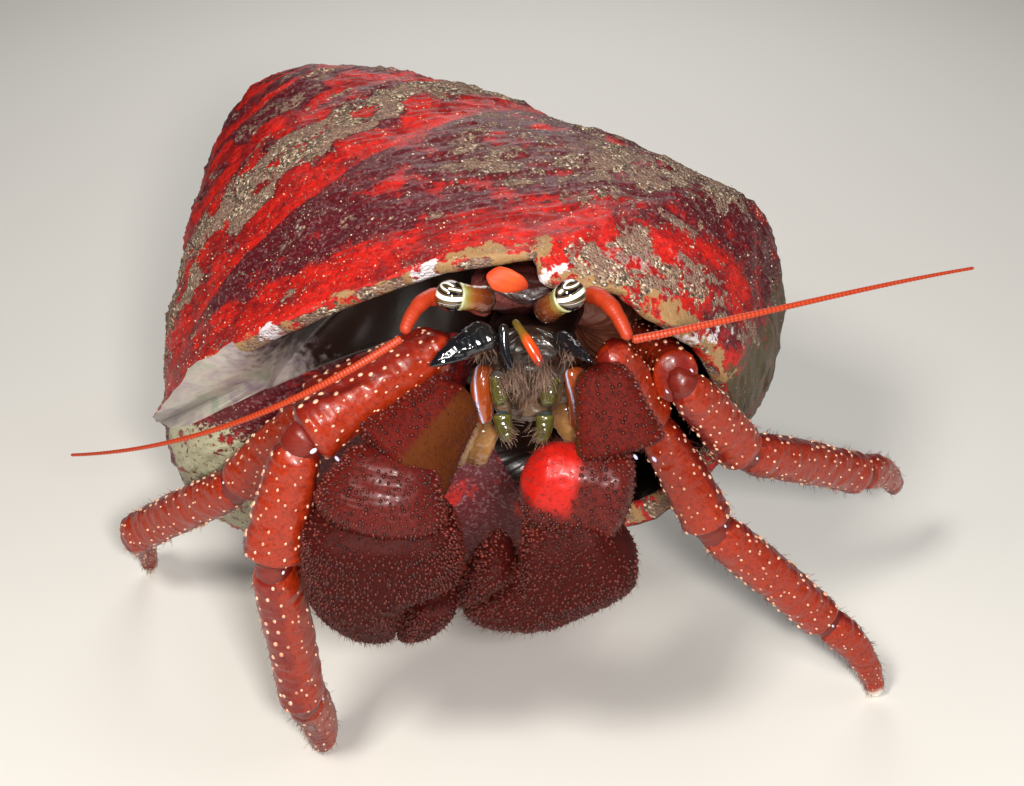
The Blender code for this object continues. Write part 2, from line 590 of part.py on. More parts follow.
def build_claws(rig, materials):
    """Both claws, from the body to the fingers."""
    for name, points, half_start, half_end, profile, side, flatness in CLAW_LIMBS:
        bm = limb(bezier(*points), half_start, half_end, profile, side, flatness, count=10)
        add_object(name, bm, materials["claw"], rig)
    for name, sizes in HANDS.items():
        add_object(f"claw_{name}_palm", hand_piece(HAND, *sizes), materials["claw"], rig)
        add_object(f"claw_{name}_dactyl", hand_piece(FREE_FINGER, *sizes), materials["claw"], rig)


def build_legs(rig, materials):
    """The four walking legs, and the four short legs inside the shell."""
    for name, leg in LEGS.items():
        for segment, solid in zip(SEGMENTS, walking_leg(*leg)):
            add_object(f"{name}_{segment}", solid, materials["exoskeleton"], rig)
    for name, points, half_start, half_end in REAR_LEGS:
        bm = limb(bezier(*points), half_start, half_end, SAUSAGE, flatness=0.9, count=6)
        add_object(name, bm, materials["exoskeleton"], rig)


def centre_on_floor(rig):
    """Put the origin under the middle of the whole object's box. The floor stays at zero."""
    corners = []
    for thing in bpy.data.objects:
        if thing.type == "MESH" and not thing.hide_render:
            place = np.array(thing.location)
            corners += [np.array(vert.co) + place for vert in thing.data.vertices]
    corners = np.array(corners)
    middle = (corners.min(axis=0) + corners.max(axis=0)) / 2.0
    rig.location = (-middle[0], -middle[1], 0.0)


def main():
    """Build everything."""
    clear_scene()
    rig = bpy.data.objects.new("rig", None)
    bpy.context.scene.collection.objects.link(rig)
    materials = {slot: paint(slot, *look) for slot, look in LOOKS.items()}
    build_shell(rig, materials)
    build_body(rig, materials)
    build_head(rig, materials)
    build_claws(rig, materials)
    build_legs(rig, materials)
    centre_on_floor(rig)


if __name__ == "__main__":
    main()
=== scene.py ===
"""Life-size hermit crab in a worn top shell: the looks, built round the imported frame.

Every shape is a surface worked out in millimetres in the part's design frame: +X is the crab's own
left, -Y the way it faces, +Z up, and the floor is zero. place() turns those into the frame's metres.
"""
import logging
import math
from dataclasses import dataclass, field
from enum import Enum
from functools import partial
from typing import Callable, Sequence

import bmesh
import bpy
import numpy as np
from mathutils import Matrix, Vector


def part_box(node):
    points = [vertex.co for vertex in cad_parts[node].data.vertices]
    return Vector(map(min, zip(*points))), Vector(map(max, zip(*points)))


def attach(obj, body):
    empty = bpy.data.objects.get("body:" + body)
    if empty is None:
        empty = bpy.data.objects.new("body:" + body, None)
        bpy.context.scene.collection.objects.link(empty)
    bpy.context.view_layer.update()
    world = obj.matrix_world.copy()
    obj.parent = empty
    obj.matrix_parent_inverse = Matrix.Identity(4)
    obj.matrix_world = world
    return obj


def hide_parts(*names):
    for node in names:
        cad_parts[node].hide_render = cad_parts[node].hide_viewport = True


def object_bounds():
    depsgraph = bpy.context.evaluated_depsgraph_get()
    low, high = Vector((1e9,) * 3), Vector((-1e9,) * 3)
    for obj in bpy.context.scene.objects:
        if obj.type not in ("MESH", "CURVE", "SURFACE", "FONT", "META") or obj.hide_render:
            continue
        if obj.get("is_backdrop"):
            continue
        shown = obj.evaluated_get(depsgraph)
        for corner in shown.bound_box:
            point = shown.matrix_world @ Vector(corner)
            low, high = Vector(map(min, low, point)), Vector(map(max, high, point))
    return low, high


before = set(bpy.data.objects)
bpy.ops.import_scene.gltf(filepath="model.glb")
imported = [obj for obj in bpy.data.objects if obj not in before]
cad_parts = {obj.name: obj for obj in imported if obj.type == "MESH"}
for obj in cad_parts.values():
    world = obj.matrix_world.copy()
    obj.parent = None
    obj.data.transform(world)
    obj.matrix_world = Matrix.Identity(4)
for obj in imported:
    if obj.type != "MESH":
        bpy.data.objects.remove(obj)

CAD_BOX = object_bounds()
log = logging.getLogger("hermit_crab")

Array = np.ndarray
Pair = tuple[float, float]
Point = tuple[float, float, float]
Rows = Sequence[Sequence[float]]       # control points of a path, or knots of a profile
Relief = Callable[[Array, Array], Array]             # height in millimetres from shares and angles
Marks = Callable[[Array, Array], dict[str, Array]]   # values of each mark from shares and angles
Socket = bpy.types.NodeSocket
Add = Callable[..., Socket]            # node() with the material's tree already given

MM = 0.001
TAU = 2.0 * math.pi
LEFT = np.array((1.0, 0.0, 0.0))
UP = np.array((0.0, 0.0, 1.0))
EYE_LEFT = (4.8, -45.2, 55.7)          # centre of the left cornea, the point that ties both frames
BODY = "root"                          # the one body of a still model


def frame_shift() -> Array:
    """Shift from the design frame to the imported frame.

    Returns:
        The shift in metres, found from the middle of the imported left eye's box.
    """
    low, high = (np.array(corner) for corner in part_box("eye_left"))
    shift = (low + high) / 2.0 - np.array(EYE_LEFT) * MM
    shift[2] = 0.0
    return shift


SHIFT = frame_shift()


def place(points: Array) -> Array:
    """Points of the design frame, in millimetres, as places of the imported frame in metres."""
    return np.asarray(points, dtype=float) * MM + SHIFT


# ---- arithmetic on whole arrays ------------------------------------------------------------------
def unit(vectors: Array) -> Array:
    """The vectors at length one: each divided by its own length."""
    return vectors / np.maximum(np.linalg.norm(vectors, axis=-1, keepdims=True), 1e-12)


def smooth(values: Array, low: float, high: float) -> Array:
    """Smooth step: 0 below low, 1 above high, and 3 s squared minus 2 s cubed between."""
    share = np.clip((values - low) / (high - low), 0.0, 1.0)
    return share * share * (3.0 - 2.0 * share)


def hump(values: Array, middle: float, half: float) -> Array:
    """Bell that is 1 at the middle and falls off as e to the minus square of the distance in halves."""
    return np.exp(-((values - middle) / half) ** 2)


def heading(degrees: float, pitch: float) -> Array:
    """Unit direction for a heading from straight ahead towards the crab's left, and a pitch."""
    turn, rise = math.radians(degrees), math.radians(pitch)
    return np.array((math.sin(turn) * math.cos(rise), -math.cos(turn) * math.cos(rise), math.sin(rise)))


def bezier(points: Rows, shares: Array) -> Array:
    """Places on the Bezier curve of the control points, by halving the hull for all shares at once.

    Args:
        points: Control points.
        shares: Shares of the curve's parameter, 0 to 1.

    Returns:
        One place for each share.
    """
    hull = [np.asarray(point, dtype=float) + np.zeros((len(shares), 3)) for point in points]
    share = shares[:, None]
    while len(hull) > 1:
        hull = [near + (far - near) * share for near, far in zip(hull, hull[1:])]
    return hull[0]


EASE_REACH, EASE_READINGS = 0.05, 9    # share of the length that rounds a knot, and readings in it


def eased(shares: Array, knots: Rows, column: int = 1) -> Array:
    """A profile's values, straight between its knots and then rounded by a running mean.

    Args:
        shares: Shares of the length.
        knots: Rows that start with a share of the length.
        column: Which column of the rows is wanted.

    Returns:
        The profile's value at each share.
    """
    knots = np.asarray(knots, dtype=float)
    offsets = np.linspace(-EASE_REACH, EASE_REACH, EASE_READINGS)
    return np.interp(shares[..., None] + offsets, knots[:, 0], knots[:, column]).mean(axis=-1)


def closing(shares: Array) -> Array:
    """Quarter circle that rounds an end off: the root of 1 minus the square of 1 minus the share."""
    return np.sqrt(1.0 - (1.0 - np.clip(shares, 0.0, 1.0)) ** 2)


def apart(angles: Array, other: float | Array) -> Array:
    """Angles less another, brought into half a turn each way."""
    return np.angle(np.exp(1j * (angles - other)))


class Noise:
    """Smooth gradient noise in space, the same for the same seed."""

    LATTICE = 256                      # slopes kept, a power of two
    GAIN = 1.6                         # brings the noise to about one either way
    SHIFT = 11.3                       # sets each octave on other cells

    def __init__(self, seed: int) -> None:
        """Shuffle the lattice and draw its slopes.

        Args:
            seed: Seed of the shuffle.
        """
        draw = np.random.default_rng(seed)
        self.order = draw.permutation(self.LATTICE)
        self.slopes = unit(draw.normal(size=(self.LATTICE, 3)))

    def once(self, points: Array) -> Array:
        """One octave: slopes at the eight corners of each unit cell, blended by a fifth-power ease.

        Args:
            points: Points in space, in millimetres.

        Returns:
            One value for each point.
        """
        cell = np.floor(points).astype(int)
        inside = points - cell
        ease = inside ** 3 * (inside * (inside * 6.0 - 15.0) + 10.0)
        total, kept = np.zeros(points.shape[:-1]), self.LATTICE - 1
        for corner in np.ndindex(2, 2, 2):
            at = (cell + corner) & kept
            pick = self.order[(self.order[at[..., 0]] + at[..., 1]) & kept]
            pick = self.order[(pick + at[..., 2]) & kept]
            weight = np.prod(np.where(np.array(corner) == 1, ease, 1.0 - ease), axis=-1)
            total += weight * np.sum(self.slopes[pick] * (inside - corner), axis=-1)
        return total * self.GAIN

    def __call__(self, points: Array, size: float, octaves: int = 1) -> Array:
        """Noise of cells of a size in millimetres, each further octave half as large and as strong.

        Args:
            points: Points in space, in millimetres.
            size: Size of the largest cells.
            octaves: How many octaves are added up.

        Returns:
            One value for each point.
        """
        total, share = np.zeros(points.shape[:-1]), 1.0
        for octave in range(octaves):
            total += share * self.once(points / size * 2.0 ** octave + self.SHIFT * octave)
            share *= 0.5
        return total


# ---- meshes --------------------------------------------------------------------------------------
@dataclass
class Patch:
    """One surface of a piece: points in millimetres, its faces, values at the points, and a finish."""

    points: Array
    quads: Array
    tris: Array
    marks: dict[str, Array] = field(default_factory=dict)
    finish: int = 0
    uv: Array | None = None


def ring_quads(rows: int, columns: int) -> Array:
    """Quads between neighbouring rows of points, each row closed on itself.

    Args:
        rows: Rows of points.
        columns: Points in a row.

    Returns:
        Numbers of the corners, four for each quad.
    """
    row, column = np.meshgrid(np.arange(rows - 1), np.arange(columns), indexing="ij")
    near, far, following = row * columns, (row + 1) * columns, (column + 1) % columns
    return np.stack([near + column, near + following, far + following, far + column], axis=-1).reshape(-1, 4)


def grid_quads(grid: Array) -> Array:
    """Quads of an open grid of point numbers."""
    return np.stack([grid[:-1, :-1], grid[1:, :-1], grid[1:, 1:], grid[:-1, 1:]], axis=-1).reshape(-1, 4)


def fan(loop: Array, centre: int) -> Array:
    """Triangles from a closed loop of point numbers to one point."""
    return np.stack([loop, np.roll(loop, -1), np.full(len(loop), centre)], axis=-1)


def ring_faces(rows: int, columns: int) -> tuple[Array, Array]:
    """Faces of a closed tube of rows of points, with a pole after the last row at each end.

    Args:
        rows: Rows along the tube.
        columns: Points round it.

    Returns:
        Quads between the rows, and triangles to the start pole and the end pole.
    """
    around, start = np.arange(columns), rows * columns
    tris = np.concatenate([fan(around, start)[:, ::-1], fan(start - columns + around, start + 1)])
    return ring_quads(rows, columns), tris


def sprout_faces(rings: int, sides: int, count: int) -> tuple[Array, Array]:
    """Faces of many small shapes, each of some rings of points with one point on top.

    Args:
        rings: Rings in a shape.
        sides: Points in a ring.
        count: How many shapes.

    Returns:
        Quads and triangles.
    """
    size = rings * sides + 1
    starts = (np.arange(count) * size)[:, None, None]
    top = fan(size - 1 - sides + np.arange(sides), size - 1)
    return (ring_quads(rings, sides) + starts).reshape(-1, 4), (top + starts).reshape(-1, 3)


def make_piece(name: str, patches: Sequence[Patch], finishes: Sequence["Finish"], slot: str,
               replaces: Sequence[str] = ()) -> bpy.types.Object:
    """Join patches into one object, dress it and let it ride on the body.

    Args:
        name: The object's name.
        patches: Its surfaces.
        finishes: The finishes that the patches number.
        slot: The record's material slot. Not used.
        replaces: CAD nodes that the piece stands for.

    Returns:
        The object, at the origin, with its place in its mesh.
    """
    starts = np.cumsum([0] + [len(patch.points) for patch in patches])
    faces: list[list[int]] = []
    picks: list[Array] = []
    for start, patch in zip(starts, patches):
        faces += (patch.quads + start).tolist() + (patch.tris + start).tolist()
        picks.append(np.full(len(patch.quads) + len(patch.tris), patch.finish))
    mesh = bpy.data.meshes.new(name)
    mesh.from_pydata(place(np.concatenate([patch.points for patch in patches])).tolist(), [], faces)
    mesh.polygons.foreach_set("material_index", np.concatenate(picks).astype(np.int32))
    mesh.shade_smooth()
    for mark in sorted({mark for patch in patches for mark in patch.marks}):
        values = [patch.marks.get(mark, np.zeros(len(patch.points))) for patch in patches]
        layer = mesh.attributes.new(mark, "FLOAT", "POINT")
        layer.data.foreach_set("value", np.concatenate(values).astype(np.float32))
    if all(patch.uv is not None for patch in patches):
        corners = np.zeros(len(mesh.loops), dtype=np.int32)
        mesh.loops.foreach_get("vertex_index", corners)
        spots = np.concatenate([patch.uv for patch in patches])[corners]
        mesh.uv_layers.new(name="OFBake").data.foreach_set("uv", spots.ravel().astype(np.float32))
    for finish in finishes:
        mesh.materials.append(finish.material())
    piece = bpy.data.objects.new(name, mesh)
    bpy.context.scene.collection.objects.link(piece)
    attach(piece, BODY)
    if replaces:
        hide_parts(*replaces)
    triangles = sum(2 * len(patch.quads) + len(patch.tris) for patch in patches)
    log.info("%s: %d triangles", name, triangles)
    return piece


@dataclass
class Tube:
    """A limb as rings round a path.

    A point is the path's centre, plus across times the half width times the cosine of the angle,
    plus over times the half thickness times its sine, both raised to 2 over the power, so that a
    power over 2 squares the section. relief adds a height in millimetres to that radius.
    """

    centres: Array
    across: Array
    over: Array
    wide: Array
    thick: Array
    power: float = 2.0
    relief: Relief | None = None
    fades: bool = True                 # the relief fades where the limb is thin

    @property
    def length(self) -> float:
        """Length of the path in millimetres."""
        return float(np.linalg.norm(np.diff(self.centres, axis=0), axis=1).sum())

    def along(self, values: Array, shares: Array) -> Array:
        """Values kept at the stations, read at shares of the path by straight interpolation.

        Args:
            values: One row of values for each station.
            shares: Shares of the path, 0 to 1.

        Returns:
            The values there.
        """
        position = np.clip(shares, 0.0, 1.0) * (len(values) - 1)
        near = np.minimum(position.astype(int), len(values) - 2)
        part = position - near
        part = part[..., None] if values.ndim == 2 else part
        return values[near] * (1.0 - part) + values[near + 1] * part

    def point(self, shares: Array, angles: Array) -> Array:
        """Places on the surface, by the class's formula.

        Args:
            shares: Shares of the path, 0 to 1.
            angles: Angles round it, in radians.

        Returns:
            The points.
        """
        bend = 2.0 / self.power
        turn, rise = (np.sign(way) * np.abs(way) ** bend for way in (np.cos(angles), np.sin(angles)))
        wide, thick = self.along(self.wide, shares), self.along(self.thick, shares)
        extra = self.relief(shares, angles) if self.relief else 0.0
        if self.fades:
            extra = extra * np.minimum(1.0, wide / (0.5 * self.wide.max()))
        offset = (self.along(self.across, shares) * ((wide + extra) * turn)[..., None]
                  + self.along(self.over, shares) * ((thick + extra) * rise)[..., None])
        return self.along(self.centres, shares) + offset

    def at(self, shares: Array, angles: Array) -> tuple[Array, Array, Array]:
        """Places, outward directions and lengthwise directions, by differences over small steps.

        Args:
            shares: Shares of the path, 0 to 1.
            angles: Angles round it, in radians.

        Returns:
            The three arrays, the directions of unit length.
        """
        step = 0.004                   # as a share of the path and in radians
        behind, before = np.maximum(shares - step, 0.0), np.minimum(shares + step, 1.0)
        ahead = self.point(before, angles) - self.point(behind, angles)
        around = self.point(shares, angles + step) - self.point(shares, angles - step)
        return self.point(shares, angles), unit(np.cross(around, ahead)), unit(ahead)

    def patch(self, rows: int, columns: int, marks: Marks | None = None, finish: int = 0,
              even: bool = False) -> Patch:
        """The closed surface.

        Args:
            rows: Rows along the path, crowded towards both ends by a cosine.
            columns: Points round it.
            marks: Gives values at the points from their shares and angles.
            finish: Number of the finish.
            even: The rows are evenly spaced instead.

        Returns:
            The surface with a pole at each end.
        """
        steps = np.arange(rows) + 0.5
        spaced = steps / rows if even else 0.5 - 0.5 * np.cos(np.pi * steps / rows)
        shares, angles = np.meshgrid(spaced, TAU * np.arange(columns) / columns, indexing="ij")
        skin = self.point(shares, angles).reshape(-1, 3)
        points = np.concatenate([skin, self.centres[:1], self.centres[-1:]])
        values: dict[str, Array] = {}
        if marks:
            flat = np.append(shares.ravel(), (0.0, 1.0)), np.append(angles.ravel(), (0.0, 0.0))
            values = {mark: np.asarray(value, dtype=float) for mark, value in marks(*flat).items()}
        return Patch(points, *ring_faces(rows, columns), values, finish)

    def scatter(self, spacing: float, draw: np.random.Generator, low: float = 0.04,
                high: float = 0.96) -> tuple[Array, Array]:
        """Shares and angles on a jittered lattice, so many millimetres apart.

        Args:
            spacing: Distance between neighbours.
            draw: Source of the jitter.
            low: First share covered.
            high: Last share covered.

        Returns:
            Shares and angles.
        """
        girth = TAU * float(np.sqrt(self.wide * self.thick).max())
        rows = max(2, int(self.length * (high - low) / spacing))
        columns = max(3, int(girth / spacing))
        row, column = np.meshgrid(np.arange(rows), np.arange(columns), indexing="ij")
        jitter = draw.uniform(-0.42, 0.42, size=(2, rows, columns))
        shares = low + (high - low) * (row + 0.5 + jitter[0]) / rows
        angles = TAU * (column + 0.5 * (row % 2) + jitter[1]) / columns
        kept = draw.uniform(size=shares.shape) < self.along(self.wide, shares) / self.wide.max()
        return shares[kept], angles[kept]


STATIONS = 161                         # stations kept along a limb


def limb(points: Rows, half_start: float, half_end: float, profile: Rows, side: Sequence[float] = UP,
         flatness: float = 1.0, caps: Pair = (0.6, 0.6), power: float = 2.0, relief: Relief | None = None,
         fades: bool = True) -> Tube:
    """Limb along a Bezier path.

    The half width runs straight from start to end times the profile, and each end closes as a
    quarter ellipse over its cap's length.

    Args:
        points: Control points of the path.
        half_start: Half width at the start.
        half_end: Half width at the end.
        profile: Knots of (share of length, share of half width).
        side: Way of the full width.
        flatness: Thickness over width.
        caps: Lengths of the rounded ends, in half widths.
        power: Squareness of the section.
        relief: Height added to the surface.
        fades: The relief fades where the limb is thin.

    Returns:
        The limb.
    """
    shares = np.linspace(0.0, 1.0, STATIONS)
    centres = bezier(points, shares)
    ahead = unit(np.gradient(centres, axis=0))
    way = np.asarray(side, dtype=float)
    across = unit(way - ahead * (ahead @ way)[:, None])
    half = (half_start + (half_end - half_start) * shares) * eased(shares, profile)
    length = np.linalg.norm(np.diff(centres, axis=0), axis=1).sum()
    for end, cap, reach in ((shares, caps[0], half_start), (1.0 - shares, caps[1], half_end)):
        half = half * closing(end * length / (cap * reach))
    return Tube(centres, across, np.cross(ahead, across), half, half * flatness, power, relief, fades)


def domes(roots: Array, normals: Array, tangents: Array, radii: Array, stretch: float = 1.0,
          rise: float = 0.5, sides: int = 6, finish: int = 0, tone: Array | None = None) -> Patch:
    """Low round bumps set on a surface.

    Each is three rings and a top: the ring's radius falls as the cosine and its height grows as the
    sine of the climb, times the bump's own radius.

    Args:
        roots: Places of the bumps.
        normals: Outward directions there.
        tangents: Ways of the long side.
        radii: Half widths.
        stretch: Length over width.
        rise: Height over half width.
        sides: Points in a ring.
        finish: Number of the finish.
        tone: One value for each bump, 0 to 1.

    Returns:
        All bumps as one surface.
    """
    sideways = unit(np.cross(normals, tangents))
    lengthwise = np.cross(sideways, normals)
    climbs = np.array((-0.25, 0.3, 0.95))
    turns = TAU * np.arange(sides) / sides
    out = np.append(np.repeat(np.cos(climbs), sides), 0.0)
    up = np.append(np.repeat(np.sin(climbs), sides), 1.0)
    turn = np.append(np.tile(turns, len(climbs)), 0.0)
    size = radii[:, None, None]
    points = (roots[:, None] + lengthwise[:, None] * (out * np.cos(turn) * stretch)[:, None] * size
              + sideways[:, None] * (out * np.sin(turn))[:, None] * size
              + normals[:, None] * (up * rise)[:, None] * size)
    marks = {"tone": np.repeat(tone if tone is not None else np.zeros(len(roots)), len(out))}
    return Patch(points.reshape(-1, 3), *sprout_faces(len(climbs), sides, len(roots)), marks, finish)


@dataclass
class Coat:
    """Setae over one part: thin tapered bristles, each mapped to a small patch at its root."""

    sides: int = 3
    steps: tuple[float, ...] = (-0.06, 0.3, 0.6, 0.85)   # rings along a bristle, the first below the skin
    patch_half: float = 0.0015         # half width of a bristle's patch on the unwrap
    tufts: list[tuple[Array, ...]] = field(default_factory=list)

    def add(self, roots: Array, ways: Array, bends: Array, lengths: Array, width: float,
            spots: Array) -> None:
        """Add bristles.

        Args:
            roots: Where they grow.
            ways: Unit directions at the root.
            bends: How far the tip strays, in lengths.
            lengths: Lengths.
            width: Half width at the root.
            spots: Places of the roots on the skin's unwrap, 0 to 1 each way.
        """
        self.tufts.append((roots, ways, bends, lengths, np.full(len(roots), width), spots))

    def patch(self) -> Patch:
        """All bristles: rings along root + way s + bend s squared, thinning to a point.

        Returns:
            The surface.
        """
        roots, ways, bends, lengths, widths, spots = (np.concatenate(each) for each in zip(*self.tufts))
        lengths, widths = lengths[:, None, None], widths[:, None, None]
        sideways = unit(np.cross(ways, np.where(np.abs(ways[:, 2:]) < 0.8, UP, LEFT)))
        other = np.cross(ways, sideways)
        share = np.append(np.repeat(self.steps, self.sides), 1.0)
        turn = np.append(np.tile(TAU * np.arange(self.sides) / self.sides, len(self.steps)), 0.0)
        thin = np.sqrt(np.clip(1.0 - share, 0.0, 1.0))
        points = (roots[:, None] + (ways[:, None] * share[:, None]
                                    + bends[:, None] * (np.maximum(share, 0.0) ** 2)[:, None]) * lengths
                  + sideways[:, None] * (thin * np.cos(turn))[:, None] * widths
                  + other[:, None] * (thin * np.sin(turn))[:, None] * widths)
        half = self.patch_half
        ring = half * np.stack([(0.3 + 0.7 * thin) * np.cos(turn), share * np.sin(turn + 0.5)], axis=-1)
        uv = (np.clip(spots, half, 1.0 - half)[:, None] + ring).reshape(-1, 2)
        faces = sprout_faces(len(self.steps), self.sides, len(roots))
        marks = {"reach": np.tile(np.clip(share, 0.0, 1.0), len(roots))}
        return Patch(points.reshape(-1, 3), *faces, marks, 0, uv)


# ---- finishes ------------------------------------------------------------------------------------
def linear(code: str) -> tuple[float, float, float, float]:
    """Linear colour of an sRGB hex code, by the sRGB curve's two branches.

    Args:
        code: Six hex digits after a hash.

    Returns:
        Linear red, green, blue and an alpha of one.
    """
    values = [int(code[k:k + 2], 16) / 255.0 for k in (1, 3, 5)]
    return (*(v / 12.92 if v <= 0.04045 else ((v + 0.055) / 1.055) ** 2.4 for v in values), 1.0)


def per(size: float) -> float:
    """Texture scale whose cells are a size in millimetres, on coordinates in metres."""
    return 1.0 / (size * MM)


COORDS, MARK = "ShaderNodeTexCoord", "ShaderNodeAttribute"
NOISE, CELLS = "ShaderNodeTexNoise", "ShaderNodeTexVoronoi"
MATH, STEP, MIX, RAMP = "ShaderNodeMath", "ShaderNodeMapRange", "ShaderNodeMix", "ShaderNodeValToRGB"
BUMP, SHADER = "ShaderNodeBump", "ShaderNodeBsdfPrincipled"
MIX_UNDER, MIX_OVER, MIX_RESULT = 6, 7, 2            # the colour sockets of a Mix node


def node(tree: bpy.types.NodeTree, kind: str, inputs: dict[str | int, object] | None = None,
         out: str | int = 0, stops: Sequence[tuple[float, str]] = (), **settings: object) -> Socket:
    """Add a node with its settings, values and links.

    Args:
        tree: The material's tree.
        kind: Node type.
        inputs: Socket name or number to a value, or to the socket that feeds it.
        out: Output that is wanted.
        stops: Positions and hex codes, where the node is a colour ramp.
        **settings: Properties of the node.

    Returns:
        The output socket.
    """
    made = tree.nodes.new(kind)
    for key, value in settings.items():
        setattr(made, key, value)
    for key, value in (inputs or {}).items():
        if isinstance(value, bpy.types.NodeSocket):
            tree.links.new(value, made.inputs[key])
        else:
            made.inputs[key].default_value = value
    for _ in stops[2:]:                # a new ramp has two stops
        made.color_ramp.elements.new(0.5)
    for element, (position, code) in zip(made.color_ramp.elements if stops else (), stops):
        element.position, element.color = position, linear(code)
    return made.outputs[out] if made.outputs else None


def layered(add: Add, color: Socket | str, layers: Sequence[tuple[Socket, Socket | str]]) -> Socket:
    """Colours laid one on another: each result is what is under, plus cover times what differs.

    Args:
        add: Adds a node to the material.
        color: Ground colour, as a socket or a hex code.
        layers: Cover and colour of each layer, the lowest first.

    Returns:
        The colour on top.
    """
    for cover, over in layers:
        under, over = (linear(each) if isinstance(each, str) else each for each in (color, over))
        color = add(MIX, {0: cover, MIX_UNDER: under, MIX_OVER: over}, MIX_RESULT, data_type="RGBA")
    return color


def wandering(add: Add, mark: str, noise: Socket, reach: float, clamp: bool = True) -> Socket:
    """A mark whose borders wander: the mark plus twice the reach times the noise less a half.

    Args:
        add: Adds a node to the material.
        mark: The mark's name.
        noise: Noise from 0 to 1.
        reach: How far the mark is shifted either way.
        clamp: Keep the result within 0 and 1.

    Returns:
        The shifted mark.
    """
    shift = add(MATH, {0: noise, 1: 2.0 * reach, 2: -reach}, operation="MULTIPLY_ADD")
    value = add(MARK, attribute_name=mark, out="Fac")
    return add(MATH, {0: value, 1: shift}, operation="ADD", use_clamp=clamp)


@dataclass(frozen=True)
class Finish:
    """A named surface finish. Subclasses give its colour, roughness and relief."""

    label: str

    def material(self) -> bpy.types.Material:
        """The finish as a material, made once for each label.

        Returns:
            The material.
        """
        material = bpy.data.materials.get(self.label)
        if not material:
            material = bpy.data.materials.new(self.label)
            material.use_nodes = True
            material.node_tree.nodes.clear()
            add = partial(node, material.node_tree)
            add("ShaderNodeOutputMaterial", {"Surface": self.shade(add)})
        return material

    def shade(self, add: Add) -> Socket:
        """The finish's shader socket."""
        raise NotImplementedError


@dataclass(frozen=True)
class Chitin(Finish):
    """Wet calcified crab cuticle: glossy, mottled, with painted shade in its fine pits and a darker colour on
    the edges.
    """

    face: str = "#942708"
    edge: str = "#70140A"
    shade_to: str = "#5A0E09"
    # Colour of the painted shade in the pits.
    tip: str = "#F2D9C4"
    roughness: float = 0.36
    coat: float = 0.2
    patch_mm: float = 2.2
    pit_mm: float = 0.28
    pit_depth_mm: float = 0.05
    shine: float = 0.4

    def shade(self, add: Add) -> Socket:
        """Face to edge colour by the edge mark and a patchy noise, painted shade in the pits, then the tip.

        Args:
            add: Adds a node to the material.

        Returns:
            The surface's shader.
        """
        spot = add(COORDS, out="Object")
        patch = add(NOISE, {"Vector": spot, "Scale": per(self.patch_mm), "Detail": 3.0})
        pits = add(NOISE, {"Vector": spot, "Scale": per(self.pit_mm), "Detail": 4.0, "Roughness": 0.6})
        edge = wandering(add, "edge", patch, 0.45, False)
        edge = add(STEP, {"Value": edge, "From Min": 0.25, "From Max": 0.85}, interpolation_type="SMOOTHSTEP")
        # Painted shade: darker where the pit noise, which is also the bump's height, is low.
        hollow = add(STEP, {"Value": pits, "From Min": 0.55, "From Max": 0.3, "To Max": 0.75})
        tip = add(MARK, attribute_name="tip", out="Fac")
        color = layered(add, self.face, ((edge, self.edge), (hollow, self.shade_to), (tip, self.tip)))
        bump = add(BUMP, {"Strength": 0.6, "Distance": self.pit_depth_mm * MM, "Height": pits})
        return add(SHADER, {"Base Color": color, "Roughness": self.roughness, "Normal": bump, "IOR": 1.5,
                            "Specular IOR Level": self.shine, "Coat Weight": self.coat,
                            "Coat Roughness": 0.12})


@dataclass(frozen=True)
class Toned(Finish):
    """Small raised grains or spots whose colour runs between two shades by the tone mark."""

    low: str = "#5A1410"
    high: str = "#C0472A"
    roughness: float = 0.35
    coat: float = 0.3
    grain_mm: float = 0.12
    shine: float = 0.5

    def shade(self, add: Add) -> Socket:
        """Low to high colour by the tone mark, with a little fine noise.

        Args:
            add: Adds a node to the material.

        Returns:
            The surface's shader.
        """
        grain = add(NOISE, {"Vector": add(COORDS, out="Object"), "Scale": per(self.grain_mm), "Detail": 2.0})
        color = layered(add, self.low, ((wandering(add, "tone", grain, 0.25), self.high),))
        return add(SHADER, {"Base Color": color, "Roughness": self.roughness, "Coat Weight": self.coat,
                            "Coat Roughness": 0.1, "IOR": 1.5, "Specular IOR Level": self.shine})


@dataclass(frozen=True)
class Ramp(Finish):
    """Soft or horny tissue whose colour runs through stops along a mark."""

    mark: str = "along"
    stops: tuple[tuple[float, str], ...] = ((0.0, "#804010"), (1.0, "#E0D0A0"))
    roughness: float = 0.3
    coat: float = 0.4
    grain_mm: float = 0.5
    depth_mm: float = 0.03
    blur: float = 0.12                 # how far fine noise shifts the stops
    glow: float = 0.0                  # share of light let through under the surface
    glow_depth_mm: float = 0.6

    def shade(self, add: Add) -> Socket:
        """A colour ramp on the mark, shifted a little by noise, which is the relief too.

        Args:
            add: Adds a node to the material.

        Returns:
            The surface's shader.
        """
        grain = add(NOISE, {"Vector": add(COORDS, out="Object"), "Scale": per(self.grain_mm), "Detail": 4.0})
        color = add(RAMP, {"Fac": wandering(add, self.mark, grain, self.blur)}, stops=self.stops)
        bump = add(BUMP, {"Strength": 0.5, "Distance": self.depth_mm * MM, "Height": grain})
        return add(SHADER, {"Base Color": color, "Roughness": self.roughness, "Normal": bump, "IOR": 1.45,
                            "Coat Weight": self.coat, "Coat Roughness": 0.12, "Subsurface Weight": self.glow,
                            "Subsurface Scale": self.glow_depth_mm * MM})


